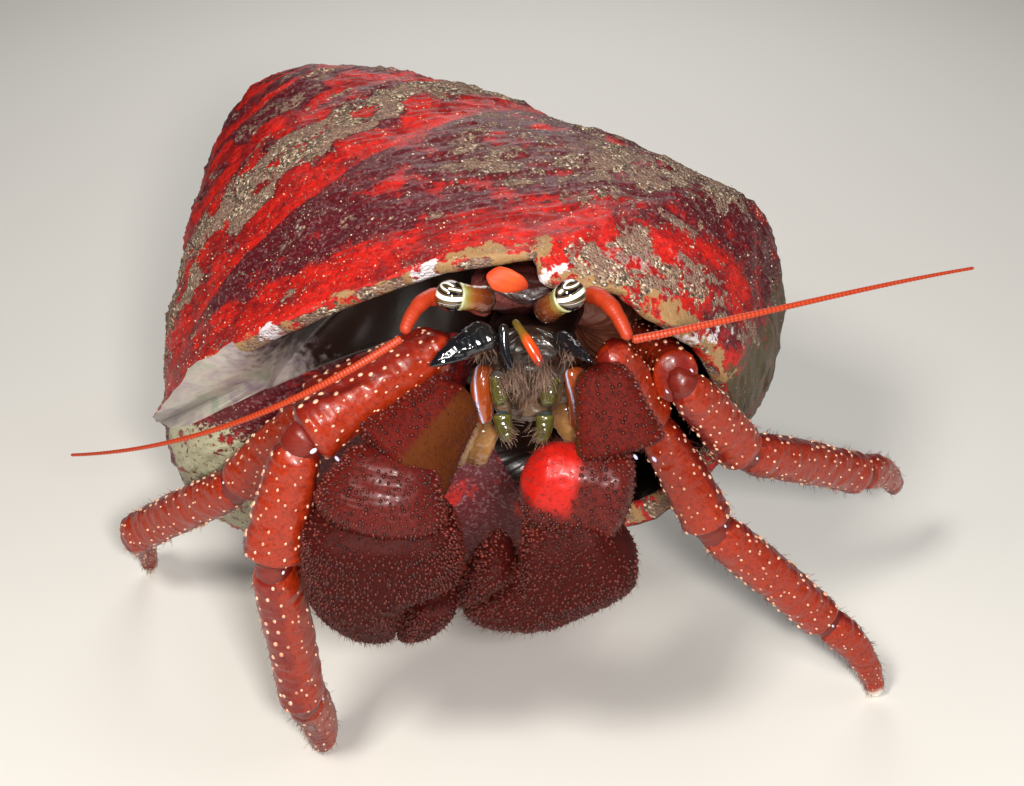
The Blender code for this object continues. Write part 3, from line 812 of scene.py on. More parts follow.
@dataclass(frozen=True)
class AlgalCrust(Finish):
    """Old shell under crustose red algae: waxy bright and dark reds, silt caught in the hollows."""

    bright: str = "#C01C10"
    dark: str = "#520D16"
    older: str = "#7E1212"
    dusty: str = "#8E6A6C"
    caked: str = "#86685A"
    silt_dark: str = "#3E352C"
    silt_mid: str = "#705A4C"
    silt_pale: str = "#B39A7C"
    quartz: str = "#E8DCC8"            # the few grains that glitter
    ochre: str = "#96744C"
    pink: str = "#A58A84"
    bare: str = "#A3A083"
    under: str = "#4A3C20"
    pearl: str = "#C9BFC2"
    patch_mm: float = 3.0
    grain_mm: float = 0.24             # sand grains, drawn a little coarse so that they show
    pit_mm: float = 0.6
    relief_mm: float = 0.28
    raggedness: float = 1.9            # how far the noise shifts the border of a layer

    def shade(self, add: Add) -> Socket:
        """Layers from the red crust up, each laid where its mark plus a fine noise passes a half.

        Args:
            add: Adds a node to the material.

        Returns:
            The surface's shader.
        """
        spot = add(COORDS, out="Object")
        patch = add(NOISE, {"Vector": spot, "Scale": per(self.patch_mm), "Detail": 6.0, "Roughness": 0.62})
        pit = add(NOISE, {"Vector": spot, "Scale": per(self.pit_mm), "Detail": 5.0, "Roughness": 0.65})
        grain = add(CELLS, {"Vector": spot, "Scale": per(self.grain_mm)})
        fleck = add("ShaderNodeSeparateColor", {"Color": grain.node.outputs["Color"]})
        ragged = add(MATH, {0: add(MATH, {0: patch, 1: pit}, operation="ADD"), 1: self.raggedness,
                            2: -self.raggedness}, operation="MULTIPLY_ADD")

        def laid(mark: str, soft: float) -> Socket:
            """Cover of a layer: its mark, made ragged, through a step as wide as twice soft.

            Args:
                mark: The mark's name.
                soft: Half width of the step.

            Returns:
                The cover, 0 to 1.
            """
            value = add(MATH, {0: add(MARK, attribute_name=mark, out="Fac"), 1: ragged}, operation="ADD")
            return add(STEP, {"Value": value, "From Min": 0.5 - soft, "From Max": 0.5 + soft},
                       interpolation_type="SMOOTHSTEP")

        dust = add(STEP, {"Value": fleck, "From Min": 0.7, "From Max": 0.96, "To Max": 0.55})
        older = add(STEP, {"Value": patch, "From Min": 0.42, "From Max": 0.62, "To Max": 0.9},
                    interpolation_type="SMOOTHSTEP")
        caked = add(STEP, {"Value": patch, "From Min": 0.44, "From Max": 0.6, "To Max": 0.85},
                    interpolation_type="SMOOTHSTEP")
        shadow = add(STEP, {"Value": pit, "From Min": 0.53, "From Max": 0.34, "To Max": 0.7})
        silt = add(RAMP, {"Fac": fleck}, stops=((0.0, self.silt_dark), (0.5, self.silt_mid),
                                                (0.86, self.silt_pale), (1.0, self.quartz)))
        color = layered(add, layered(add, self.bright, ((older, self.older),)), (
            (laid("dark", 0.22), layered(add, self.dark, ((dust, self.dusty),))), (shadow, self.dark),
            (laid("pink", 0.15), self.pink), (laid("bare", 0.12), self.bare),
            (laid("under", 0.2), self.under), (laid("ochre", 0.08), self.ochre),
            (laid("silt", 0.1), layered(add, silt, ((caked, self.caked),))),
            (laid("pearl", 0.06), self.pearl)))
        wet = add(STEP, {"Value": laid("silt", 0.15), "To Min": 0.4, "To Max": 0.85})
        height = add(MATH, {0: grain, 1: laid("silt", 0.2)}, operation="MULTIPLY")
        height = add(MATH, {0: pit, 1: height}, operation="SUBTRACT")
        bump = add(BUMP, {"Strength": 0.8, "Distance": self.relief_mm * MM, "Height": height})
        return add(SHADER, {"Base Color": color, "Roughness": wet, "Normal": bump, "IOR": 1.45,
                            "Specular IOR Level": 0.35})


@dataclass(frozen=True)
class Nacre(Finish):
    """Mother of pearl inside the shell: smooth, softly banded pink and green, with dark brown painted shade
    inside.
    """

    pearl: str = "#A89E92"
    rose: str = "#8A7682"
    green: str = "#858C7C"
    # Colour of the painted shade inside the shell.
    stain: str = "#1C0E08"
    band_mm: float = 3.5
    fine_mm: float = 0.7
    relief_mm: float = 0.08

    def shade(self, add: Add) -> Socket:
        """Pearl with rose and green by a slow noise, then darkened by the painted shade mark.

        Args:
            add: Adds a node to the material.

        Returns:
            The surface's shader.
        """
        spot = add(COORDS, out="Object")
        slow = add(NOISE, {"Vector": spot, "Scale": per(self.band_mm), "Detail": 2.0, "Distortion": 0.8})
        fine = add(NOISE, {"Vector": spot, "Scale": per(self.fine_mm), "Detail": 4.0})
        rose = add(STEP, {"Value": slow, "From Min": 0.45, "From Max": 0.7})
        green = add(STEP, {"Value": slow, "From Min": 0.45, "From Max": 0.25})
        # Painted shade, with its border made ragged by the fine noise.
        deep = wandering(add, "deep", fine, 0.4, False)
        deep = add(STEP, {"Value": deep, "From Min": 0.15, "From Max": 0.75}, interpolation_type="SMOOTHSTEP")
        color = layered(add, self.pearl, ((rose, self.rose), (green, self.green), (deep, self.stain)))
        bump = add(BUMP, {"Strength": 0.3, "Distance": self.relief_mm * MM, "Height": fine})
        return add(SHADER, {"Base Color": color, "Roughness": 0.28, "Normal": bump, "Coat Weight": 0.4,
                            "Coat Roughness": 0.15})


@dataclass(frozen=True)
class StripedCornea(Finish):
    """Polished eye of a striped hermit crab: black with cream stripes that have a brown border."""

    ground: str = "#0A0809"
    border: str = "#6A5230"
    stripe: str = "#F6EFDF"

    def shade(self, add: Add) -> Socket:
        """Ground, border and stripe by steps on the stripe mark, under a clear coat.

        Args:
            add: Adds a node to the material.

        Returns:
            The surface's shader.
        """
        color = add(RAMP, {"Fac": add(MARK, attribute_name="stripe", out="Fac")},
                    stops=((0.34, self.ground), (0.4, self.border), (0.47, self.ground), (0.5, self.ground),
                           (0.56, self.stripe)))
        return add(SHADER, {"Base Color": color, "Roughness": 0.12, "IOR": 1.45, "Coat Weight": 1.0,
                            "Coat Roughness": 0.03})


@dataclass(frozen=True)
class StudioFloor(Finish):
    """Pale matt backdrop paper."""

    color: str = "#D9D6D0"
    fibre_mm: float = 1.5
    relief_mm: float = 0.05

    def shade(self, add: Add) -> Socket:
        """One pale colour with a very slight fibre noise.

        Args:
            add: Adds a node to the material.

        Returns:
            The surface's shader.
        """
        fibre = add(NOISE, {"Vector": add(COORDS, out="Object"), "Scale": per(self.fibre_mm), "Detail": 4.0})
        bump = add(BUMP, {"Strength": 0.05, "Distance": self.relief_mm * MM, "Height": fibre})
        return add(SHADER, {"Base Color": linear(self.color), "Roughness": 0.9, "Normal": bump})


# Calcified leg plates, always wet: a broad soft gloss over brick red.
LEG_CHITIN = Chitin("wet_red_cuticle", shine=0.35)
LEG_WHITE_TIP = Chitin("wet_red_cuticle_white_tip", tip="#F7EDE2", shine=0.35)
# A leg tip that lies in shadow: its dark tip colour is painted shade.
LEG_DARK_TIP = Chitin("wet_red_cuticle_dark_tip", tip="#1E1210", shine=0.35)
# Lime-filled bumps on the legs: chalky cream with a wet glint.
SPOT = Toned("pale_raised_spot", low="#A85836", high="#DDB092", roughness=0.3, coat=0.4)
# Granular claw skin: very dark between the grains, hardly any gloss.
CLAW_CHITIN = Chitin("granular_claw_cuticle", face="#3C0B07", edge="#2E0805", shade_to="#160303",
                     shine=0.1, roughness=0.6, coat=0.0, pit_mm=0.22)
# The claws' first and second parts: the same skin, with a smooth brown plane and a polished red dome.
CLAW_MERUS = Chitin("claw_merus_cuticle", face="#58110A", edge="#430C07", shade_to="#2A0706", tip="#50250B",
                    shine=0.08, roughness=0.65, coat=0.0, pit_mm=0.25, pit_depth_mm=0.02)
CLAW_CARPUS = Chitin("claw_carpus_cuticle", face="#560F09", edge="#420C07", shade_to="#2A0705", tip="#AC160D",
                     shine=0.25, roughness=0.45, coat=0.05, pit_mm=0.25, pit_depth_mm=0.015)
# Horny grains on the claws: dark, with a paler worn top.
GRANULE = Toned("claw_granule", low="#2C0705", high="#621A0F", roughness=0.42, coat=0.0, shine=0.35)
# Condyle knobs at the leg joints and small domes on the claws: highly polished, and coloured pearly
# blue-white as painted glints.
PEARLY_KNOB = Toned("pearly_condyle", low="#7A6E9A", high="#E9E6F6", roughness=0.08, coat=1.0)
# Uncalcified membrane in the joints: darker and duller than the plates.
HINGE_SKIN = Ramp("joint_membrane", stops=((0.0, "#5E140A"), (0.5, "#6E1A0E"), (1.0, "#5E140A")),
                  roughness=0.4, coat=0.1, grain_mm=0.35)
# Flagellum of horny rings: orange-red crests and darker grooves.
FEELER = Ramp("ringed_feeler", mark="ring", stops=((0.0, "#741804"), (0.45, "#9E2A06"), (1.0, "#B23A0A")),
              roughness=0.5, coat=0.08, grain_mm=0.2, blur=0.1)
# Horny antennal scales: nearly black with a blue sheen, shining wet.
SCALE_BLADE = Ramp("blue_black_scale", stops=((0.0, "#1A1814"), (0.5, "#0C0F14"), (1.0, "#080B12")),
                   roughness=0.16, coat=0.8, grain_mm=0.4)
# Thin rostral plate: matt orange that lets a little light through.
PLATE_ORANGE = Ramp("orange_rostral_plate", stops=((0.0, "#B83404"), (0.6, "#C84406"), (1.0, "#A02A04")),
                    roughness=0.6, coat=0.0, glow=0.1)
# Eyestalk skin: dark foot, brown middle, and a pale green ring under the cornea.
STALK = Ramp("eyestalk_skin", stops=((0.0, "#160805"), (0.35, "#4E200A"), (0.62, "#743A12"),
                                     (0.84, "#84702E"), (0.95, "#AEB288"), (1.0, "#565C3A")),
             roughness=0.22, coat=0.7, grain_mm=0.8, blur=0.06)
# Third maxillipeds: olive plates with blue-grey joints, wet.
OLIVE = Ramp("olive_mouth_foot", mark="joint", stops=((0.0, "#423E18"), (0.4, "#55501E"), (0.7, "#2A3022"),
                                                     (1.0, "#3E4A52")),
             roughness=0.2, coat=0.7, grain_mm=0.4)
# Soft mouthparts in shade: brown folds.
MOUTH_BED = Ramp("mouth_bed", stops=((0.0, "#241610"), (0.5, "#5E4630"), (1.0, "#34201A")), roughness=0.35,
                 coat=0.4, grain_mm=0.5, blur=0.3)
# Thin brown flaps beside the mouth: wet and a little translucent.
BROWN_FLAP = Ramp("translucent_brown_flap", stops=((0.0, "#5A3A22"), (0.5, "#8A6238"), (1.0, "#5E3A20")),
                  roughness=0.18, coat=0.7, grain_mm=0.9, blur=0.2, glow=0.15)
# Claw ischium: polished orange, with a blue-white painted highlight along it.
BASAL_STRIP = Ramp("orange_basal_strip", mark="line", stops=((0.0, "#7E3410"), (0.5, "#9A4416"),
                                                           (0.8, "#8E8AA8"), (1.0, "#E6E4F4")),
                   roughness=0.16, coat=0.9, grain_mm=0.5, blur=0.1)
# Antennule: an olive foot and an orange tip.
CAPSULE = Ramp("antennule_capsule", stops=((0.0, "#4A4018"), (0.4, "#6E4E16"), (0.58, "#C8400E"),
                                           (1.0, "#8E2408")), roughness=0.25, coat=0.6)
# Shield over the head: thin, dark purple-brown cuticle.
SHIELD_SKIN = Chitin("shield_cuticle", face="#2E100E", edge="#5E2C28", shade_to="#140606", roughness=0.35,
                     coat=0.2, shine=0.3, patch_mm=1.2)
# Trunk and rear plates, which stay in the shell: duller, and darkened as painted shade of the shell's inside.
TRUNK_SKIN = Chitin("trunk_cuticle", face="#22100C", edge="#180A08", shade_to="#0E0605", roughness=0.4,
                    coat=0.2, shine=0.3)
# Uncalcified abdomen: soft, moist, brownish pink skin, darkened as painted shade of the shell's inside.
SOFT_SKIN = Ramp("soft_abdomen_skin", stops=((0.0, "#6E3828"), (0.5, "#7E4634"), (1.0, "#5C2A20")),
                 roughness=0.45, coat=0.3, grain_mm=0.9, blur=0.3, glow=0.1)
# Leg setae: stiff horn, dark at the root and paler at the tip.
BRISTLE = Ramp("red_bristle", mark="reach", stops=((0.0, "#4A0E08"), (0.6, "#701C10"), (1.0, "#8E4228")),
               roughness=0.5, coat=0.0, blur=0.02)
# Claw setae: short and dull between the grains.
CLAW_HAIR = Ramp("claw_seta", mark="reach", stops=((0.0, "#2A0906"), (0.6, "#4E160D"), (1.0, "#8A4A32")),
                 roughness=0.6, coat=0.0, blur=0.02)
# Feathery setae of the mouth: grey-brown, matt.
MOUTH_HAIR = Ramp("grey_brown_seta", mark="reach", stops=((0.0, "#38261E"), (0.6, "#7A5C4C"),
                                                         (1.0, "#B49684")),
                  roughness=0.5, coat=0.0, blur=0.02)
# Quartz and mud grains lying loose on the crust.
SILT_GRAIN = Toned("silt_grain", low="#6A5442", high="#DCCAA8", roughness=0.5, coat=0.2, grain_mm=0.1)
CRUST, NACRE, CORNEA = AlgalCrust("crusted_shell"), Nacre("nacre"), StripedCornea("striped_cornea")


# ---- shell ---------------------------------------------------------------------------------------
def chain_shares(chain: Array) -> Array:
    """Share of a chain's length at each of its points."""
    steps = np.linalg.norm(np.diff(chain, axis=0), axis=1)
    return np.concatenate([[0.0], np.cumsum(steps)]) / steps.sum()


def zip_chains(points: Array, one: Array, other: Array) -> Array:
    """Triangles between two chains of points, stepping along both in order of their length shares.

    Args:
        points: All points.
        one: Numbers of the first chain's points.
        other: Numbers of the second chain's points.

    Returns:
        Triangles as rows of three numbers.
    """
    stops = np.concatenate([chain_shares(points[one])[1:], chain_shares(points[other])[1:]])
    first = np.arange(len(stops)) < len(one) - 1
    order = np.argsort(stops, kind="stable")
    first = first[order]
    i = np.cumsum(first) - first
    j = np.cumsum(~first) - ~first
    third = np.where(first, one[np.minimum(i + 1, len(one) - 1)], other[np.minimum(j + 1, len(other) - 1)])
    return np.stack([one[i], other[j], third], axis=-1)


@dataclass(frozen=True)
class TopShell:
    """Worn top shell of flat whorls, crusted outside and pearly inside.

    A point of the outer face has a growth angle, 0 at the lip and less inside, and a station, from
    the suture (0) over the shoulder (1) to the axis (2). Radius grows as growth_rate to the power
    of the turns, and height up the axis as a power of that size.
    """

    axis_heading: float = -0.58
    axis_rise: float = 0.459
    lip_roll: float = 3.002
    foot: Point = (2.8, -26.2, 19.15)
    radius: float = 41.26
    height: float = 60.87
    growth_rate: float = 1.45
    bend: float = 1.522
    depth: float = 0.585
    base_round: Pair = (0.9, 1.1)
    shoulder_lag: float = TAU * 7.0 / 30.0
    foot_lag: float = 4.0
    foot_curve: float = 1.6
    turns: int = 3
    columns: int = 390                 # growth steps in one turn
    side_rows: int = 40                # rows from the suture to the shoulder
    base_rows: int = 48                # rows from the shoulder to the axis
    wall: float = 1.8
    lip_wall: float = 0.9
    glaze: float = 0.7                 # nacre over the whorl inside
    hollow_turns: float = 26.0 / 30.0
    hollow_rings: int = 150
    links: tuple[int, int] = (6, 20)   # points across the pillar side and the suture side of a ring
    cuts: Point = (0.4, 0.875, 0.375)  # where a ring leaves the side, reaches the pillar and leaves it

    def axes(self) -> tuple[Array, Array, Array]:
        """The axis towards the apex, and the two directions across it.

        Returns:
            Three unit vectors.
        """
        axis = np.array((math.sin(self.axis_heading) * math.cos(self.axis_rise),
                         math.cos(self.axis_heading) * math.cos(self.axis_rise), math.sin(self.axis_rise)))
        across = unit(np.cross(axis, UP))
        return axis, across, np.cross(axis, across)

    def face(self, growth: Array, station: Array) -> Array:
        """Places on the smooth outer face, by the class's formula.

        Args:
            growth: Growth angles, 0 at the lip and less inwards.
            station: Stations across the whorl: 0 suture, 1 shoulder, 2 axis.

        Returns:
            The points.
        """
        side, base = np.minimum(station, 1.0), np.maximum(station - 1.0, 0.0)
        turned = (growth - self.shoulder_lag * side
                  - (self.foot_lag - self.shoulder_lag) * base ** self.foot_curve)
        size = self.growth_rate ** (turned / TAU)
        inner = size / self.growth_rate
        far_radius, far_height = self.radius * size, self.height * (1.0 - size ** self.bend)
        near_radius, near_height = self.radius * inner, self.height * (1.0 - inner ** self.bend)
        turn = base * math.pi / 2.0
        under = base > 0.0
        radius = np.where(under, far_radius * np.maximum(np.cos(turn), 0.0) ** self.base_round[0],
                          near_radius + (far_radius - near_radius) * side)
        height = np.where(under, far_height - self.depth * far_radius * np.sin(turn) ** self.base_round[1],
                          near_height + (far_height - near_height) * side)
        angle = (self.lip_roll - turned)[..., None]
        axis, across, over = self.axes()
        return (np.array(self.foot) + (across * np.cos(angle) + over * np.sin(angle)) * radius[..., None]
                + axis * height[..., None])

    def outward(self, growth: Array, station: Array) -> Array:
        """Outward directions of the outer face, by differences.

        Args:
            growth: Growth angles, 0 at the lip and less inwards.
            station: Stations across the whorl: 0 suture, 1 shoulder, 2 axis.

        Returns:
            Unit vectors.
        """
        step = 0.01                    # in radians and in stations
        along = self.face(growth + step, station) - self.face(growth - step, station)
        down = (self.face(growth, np.minimum(station + step, 2.0))
                - self.face(growth, np.maximum(station - step, 0.0)))
        return unit(np.cross(along, down))

    def lobes(self, growth: Array, station: Array) -> Array:
        """Extra growth of the lip: two scallops under its front, with a ragged broken edge.

        Args:
            growth: Growth angles, 0 at the lip and less inwards.
            station: Stations across the whorl: 0 suture, 1 shoulder, 2 axis.

        Returns:
            Growth angles to add.
        """
        ragged = Noise(5)(np.stack([station * 16.0, station * 0.0, station * 0.0], axis=-1), 1.0, 3)
        reach = (0.035 * hump(station, 1.11, 0.06) + 0.03 * hump(station, 1.27, 0.06)
                 - 0.03 * hump(station, 1.2, 0.025) + 0.009 * ragged * (station < 1.7))
        worn = np.interp(station, (0.05, 0.3, 0.8, 1.0, 1.15), (0.0, -0.15, -0.16, -0.06, 0.0))
        flange = worn + np.interp(station, (1.25, 1.35, 1.4, 1.5, 1.6, 1.7, 1.82, 1.95),
                                  (0.0, 0.1, 0.13, 0.22, 0.28, 0.42, 0.4, 0.0))
        return reach * smooth(growth, -0.16, 0.0) + flange * smooth(growth, -0.7, 0.0)

    def marks(self, growth: Array, station: Array, places: Array) -> dict[str, Array]:
        """Where each layer of the crust lies, from 0 to 1, before the fine noise makes it ragged.

        Args:
            growth: Growth angles, 0 at the lip and less inwards.
            station: Stations across the whorl: 0 suture, 1 shoulder, 2 axis.
            places: The points there, in millimetres.

        Returns:
            The marks by name, one value for each point.
        """
        noise = Noise(21)
        streak = noise(np.stack([growth * 26.0, station * 2.2, growth * 0.0], axis=-1), 1.0, 3)
        blotch = noise(places, 5.5, 3)
        small = noise(places, 2.0, 2)
        island = smooth(noise(places + 40.0, 5.0), 0.12, 0.24)
        turn = growth / TAU
        body = smooth(turn, -0.775, -0.765)
        under = smooth(station, 0.98, 1.08)
        right, rise = places[..., 0], places[..., 2]
        lip_band = smooth(turn + 0.02 * blotch + 0.012 * small, -0.085, -0.062)
        broad = smooth(station, 0.74, 0.86)
        edge = smooth(turn + 0.004 * small, -0.006 - 0.012 * broad, -0.0015 - 0.006 * broad)
        # Last whorl: a bright band along the lip, maroon behind it, silt on what faces up.
        dark_last = (0.85 - 0.85 * lip_band * (1.0 - 0.5 * smooth(right, 2.0, 10.0)) + 0.55 * blotch
                     + 0.12 * streak)
        crest = smooth(rise, 48.0, 56.0) * smooth(-turn, 0.07, 0.14) * smooth(right, -16.0, -2.0)
        crust = smooth(right, 3.0, 11.0) * smooth(rise, 32.0, 42.0) * smooth(-turn, 0.01, 0.05)
        silt_last = -0.2 + 0.55 * crest + 0.22 * crust + 0.45 * small + 0.45 * blotch + 0.12 * streak
        silt_last = silt_last + 0.5 * hump(station, 0.0, 0.1) * smooth(turn, -0.1, -0.04)
        silt_last = silt_last + 0.32 * hump(dark_last, 0.42, 0.1) + 0.12 * hump(turn, -0.13, 0.05)
        silt_last = silt_last + 0.6 * hump(station, 1.16, 0.22) * smooth(turn, -0.06, -0.015)
        # Whorls above it: silt over the upper part with red islands, and a bright band at the foot.
        spire = smooth(-turn, 1.35, 1.6)
        dark_above = 0.75 - 0.7 * smooth(station + 0.05 * small, 0.72, 0.78) - 0.8 * island + 0.65 * blotch
        window = smooth(station, 0.1, 0.24) * (1.0 - smooth(station, 0.68, 0.76))
        silt_above = -0.1 + 0.85 * window * (1.0 - 0.55 * spire) - 1.0 * island + 0.35 * small + 0.3 * blotch
        silt_above = silt_above + 0.6 * spire * hump(station, 0.95, 0.06) + 0.4 * hump(dark_above, 0.42, 0.1)
        dark = body * dark_last + (1.0 - body) * (dark_above + 0.2 * spire)
        silt = body * silt_last + (1.0 - body) * silt_above
        ochre = (-0.25 + (0.62 + 0.25 * broad) * edge * smooth(station, 0.2, 0.35) * (station < 1.5)
                 + 0.9 * small * edge)
        pink = -0.4 + 1.0 * smooth(turn, -0.08, -0.02) * hump(station, 1.16, 0.2) * smooth(right, 2.0, 9.0)
        pink = pink + 0.25 * small
        bare = (-0.5 + 1.2 * under * smooth(-right, 14.0, 24.0) * (1.0 - smooth(rise, 28.0, 34.0))
                + 0.2 * blotch)
        brown = (-0.4 + 1.25 * under * smooth(right, 4.0, 14.0) * (1.0 - smooth(rise, 40.0, 47.0))
                 + 0.3 * streak)
        pearl = (-0.75 + 1.3 * hump(station, 1.37, 0.05) * smooth(turn, -0.045, -0.01)
                 + 1.7 * edge * hump(station, 0.48, 0.035) + 1.7 * edge * hump(station, 0.77, 0.035)
                 + 1.6 * edge * hump(station, 1.08, 0.03))
        return {"dark": dark, "silt": silt, "ochre": ochre, "pink": pink, "bare": bare, "under": brown,
                "pearl": pearl}

    def relief(self, growth: Array, station: Array, places: Array, marks: dict[str, Array]) -> Array:
        """Height of the crust: growth ridges, lumps, pits and the silt that lies on it.

        Args:
            growth: Growth angles, 0 at the lip and less inwards.
            station: Stations across the whorl: 0 suture, 1 shoulder, 2 axis.
            places: The points there, in millimetres.
            marks: Where each layer of the crust lies.

        Returns:
            Heights in millimetres.
        """
        noise = Noise(8)
        inner = growth < -TAU * (1.0 - self.shoulder_lag / TAU)
        away = smooth(station, 0.0, 0.12) * np.where(inner, 1.0 - smooth(station, 0.86, 1.0), 1.0)
        away = away * (1.0 - smooth(station, 1.7, 1.95))
        warp = growth * 30.0 + 1.4 * noise(places, 9.0, 2)
        ridge = np.sin(warp * 2.1) + 0.6 * np.sin(warp * 5.3 + 1.0)
        ridge = np.clip(ridge, -0.4, 1.6) * (0.5 + 0.5 * noise(places, 14.0))
        crust = smooth(noise(places, 2.6, 3), 0.0, 0.35)
        lumps = 0.34 * noise(places, 6.5, 2) + 0.2 * noise(places, 2.0, 3) + 0.12 * noise(places, 0.9, 2)
        silt = 0.16 * smooth(marks["silt"], 0.35, 0.75)
        rim = 0.55 * smooth(growth, -0.11, -0.01) * (1.0 - smooth(station, 0.3, 0.5))
        bulge = 1.2 * hump(station, 1.36, 0.2) * smooth(growth, -0.7, -0.1)
        worn = 0.35 * smooth(growth, -0.05, 0.02) * noise(places, 1.6, 2)
        size = self.growth_rate ** (growth / TAU)
        side = np.clip(station, 0.0, 1.0)
        rounded = 3.2 * size * side * (1.0 - side)
        return (away * (0.13 * ridge + 0.14 * crust) + (lumps + silt) * np.minimum(1.0, away + 0.35)
                + rim + bulge + rounded - worn)

    def surface(self, growth: Array, station: Array) -> tuple[Array, dict[str, Array]]:
        """Places on the crusted outer face, and its marks.

        Args:
            growth: Growth angles, 0 at the lip and less inwards.
            station: Stations across the whorl: 0 suture, 1 shoulder, 2 axis.

        Returns:
            The points and their marks.
        """
        grown = growth + self.lobes(growth, station)
        smooth_face = self.face(grown, station)
        marks = self.marks(growth, station, smooth_face)
        height = self.relief(growth, station, smooth_face, marks)
        places = smooth_face + self.outward(grown, station) * height[..., None]
        places[..., 2] = np.maximum(places[..., 2], 0.0)
        return places, marks

    def cover(self, columns: int) -> int:
        """Growth steps after which a whorl lies on the one before, for so many steps in a turn."""
        return round(columns * (1.0 - self.shoulder_lag / TAU))

    def cut_rows(self) -> tuple[int, int, int]:
        """Row of the side where a ring starts, and rows of the base where it meets and leaves the pillar."""
        start, meets, leaves = self.cuts
        return round(start * self.side_rows), round(meets * self.base_rows), round(leaves * self.base_rows)

    def rings(self) -> tuple[Array, Array]:
        """Sections of the hollow from the lip inwards, and how deep each is, 0 to 1.

        Returns:
            The points of each ring, and its depth.
        """
        start, meets, leaves = self.cut_rows()
        back = np.linspace(0.0, 1.0, self.hollow_rings) ** 1.15 * self.hollow_turns * TAU
        row_outer = np.concatenate([np.arange(start, self.side_rows) / self.side_rows,
                                    1.0 + np.arange(meets + 1) / self.base_rows])
        row_inner = 1.0 + np.arange(meets, leaves - 1, -1) / self.base_rows
        growth, station = np.meshgrid(-back, row_outer, indexing="ij")
        wall = (self.lip_wall + (self.wall - self.lip_wall) * np.clip(-growth / 0.9, 0.0, 1.0)
                + np.maximum(station - 1.5, 0.0) * 4.0)
        grown = growth + self.lobes(growth, station)
        outer = self.face(grown, station) - self.outward(grown, station) * wall[..., None]
        growth, station = np.meshgrid(-back - (TAU - self.shoulder_lag), row_inner, indexing="ij")
        inner = self.face(growth, station) + self.outward(growth, station) * self.glaze
        spans = []
        for start, end, count in ((outer[:, -1], inner[:, 0], self.links[0]),
                                  (inner[:, -1], outer[:, 0], self.links[1])):
            share = (np.arange(count) + 1.0) / (count + 1.0)
            spans.append(start[:, None] + (end - start)[:, None] * share[:, None])
        rings = np.concatenate([outer, spans[0], inner, spans[1]], axis=1)
        middle = rings.mean(axis=1, keepdims=True)
        narrowed = 0.35 + 0.65 * closing((self.hollow_turns * TAU - back) / (TAU / 10.0))
        return middle + (rings - middle) * narrowed[:, None, None], back / (self.hollow_turns * TAU)

    def whorls(self, last: int, columns: int, rows: int, end: float) -> tuple[Array, Array, Array, Array]:
        """The flat sides of some whorls, where the shoulder of each is the suture of the next.

        Args:
            last: Growth steps in all.
            columns: Growth steps in one turn.
            rows: Steps across a whorl.
            end: Growth angle of the last step.

        Returns:
            Growth angle and station of each point, the points' numbers as a grid from suture to
            shoulder, and the growth angle of each step.
        """
        cover = self.cover(columns)
        steps = end + (np.arange(last + 1) - last) * TAU / columns
        growth, station = np.meshgrid(steps, np.arange(rows) / rows, indexing="ij")
        free = steps[last - cover + 1:]
        side = np.arange(growth.size).reshape(growth.shape)
        shoulder = np.concatenate([side[cover:, 0], side.size + np.arange(len(free))])
        return (np.append(growth, free), np.append(station, np.ones(len(free))),
                np.concatenate([side, shoulder[:, None]], axis=1), steps)

    def build(self) -> None:
        """One closed mesh: outer face, edge of the lip, and the hollow inside it."""
        last, cover = self.turns * self.columns, self.cover(self.columns)
        first_row, deep_row, near_row = self.cut_rows()
        foot_row = self.side_rows + deep_row
        growth, station, side, steps = self.whorls(last, self.columns, self.side_rows, 0.0)
        base_growth, base_station = np.meshgrid(
            steps[last - cover:], 1.0 + (np.arange(self.base_rows) + 1.0) / self.base_rows, indexing="ij")
        base = len(growth) + np.arange(base_growth.size).reshape(base_growth.shape)
        base = np.concatenate([side[last - cover:, -1:], base], axis=1)
        points, marks = self.surface(np.append(growth, base_growth), np.append(station, base_station))
        crust_quads = [grid_quads(side), grid_quads(base)]
        top = np.concatenate([side[:cover + 1, 0], side[0, self.side_rows - 1:0:-1]])
        crust_tris = fan(top, len(points))
        points = np.concatenate([points, [np.array(self.foot) + self.axes()[0] * self.height]])
        marks = {name: np.append(values, 0.6) for name, values in marks.items()}

        rings, depth = self.rings()
        count = rings.shape[1]
        hollow = len(points) + np.arange(rings.shape[0] * count).reshape(rings.shape[:2])
        points = np.concatenate([points, rings.reshape(-1, 3), [rings[-1].mean(axis=0)]])
        pearl_quads = hollow[0, 0] + ring_quads(*hollow.shape)
        pearl_tris = [fan(hollow[-1], len(points) - 1)]

        # The mouth's first ring is joined to the lip, the pillar and the inner whorl in four lengths.
        lip = np.concatenate([side[last], base[-1, 1:]])
        inner, pillar, mouth = base[0], base[1:-1, self.base_rows], hollow[0]
        wide = foot_row - first_row + 1
        one = mouth[:wide]
        two = mouth[wide - 1:wide + self.links[0] + 1]
        three = mouth[wide + self.links[0]:count - self.links[1]]
        four = np.append(mouth[count - self.links[1] - 1:], mouth[0])
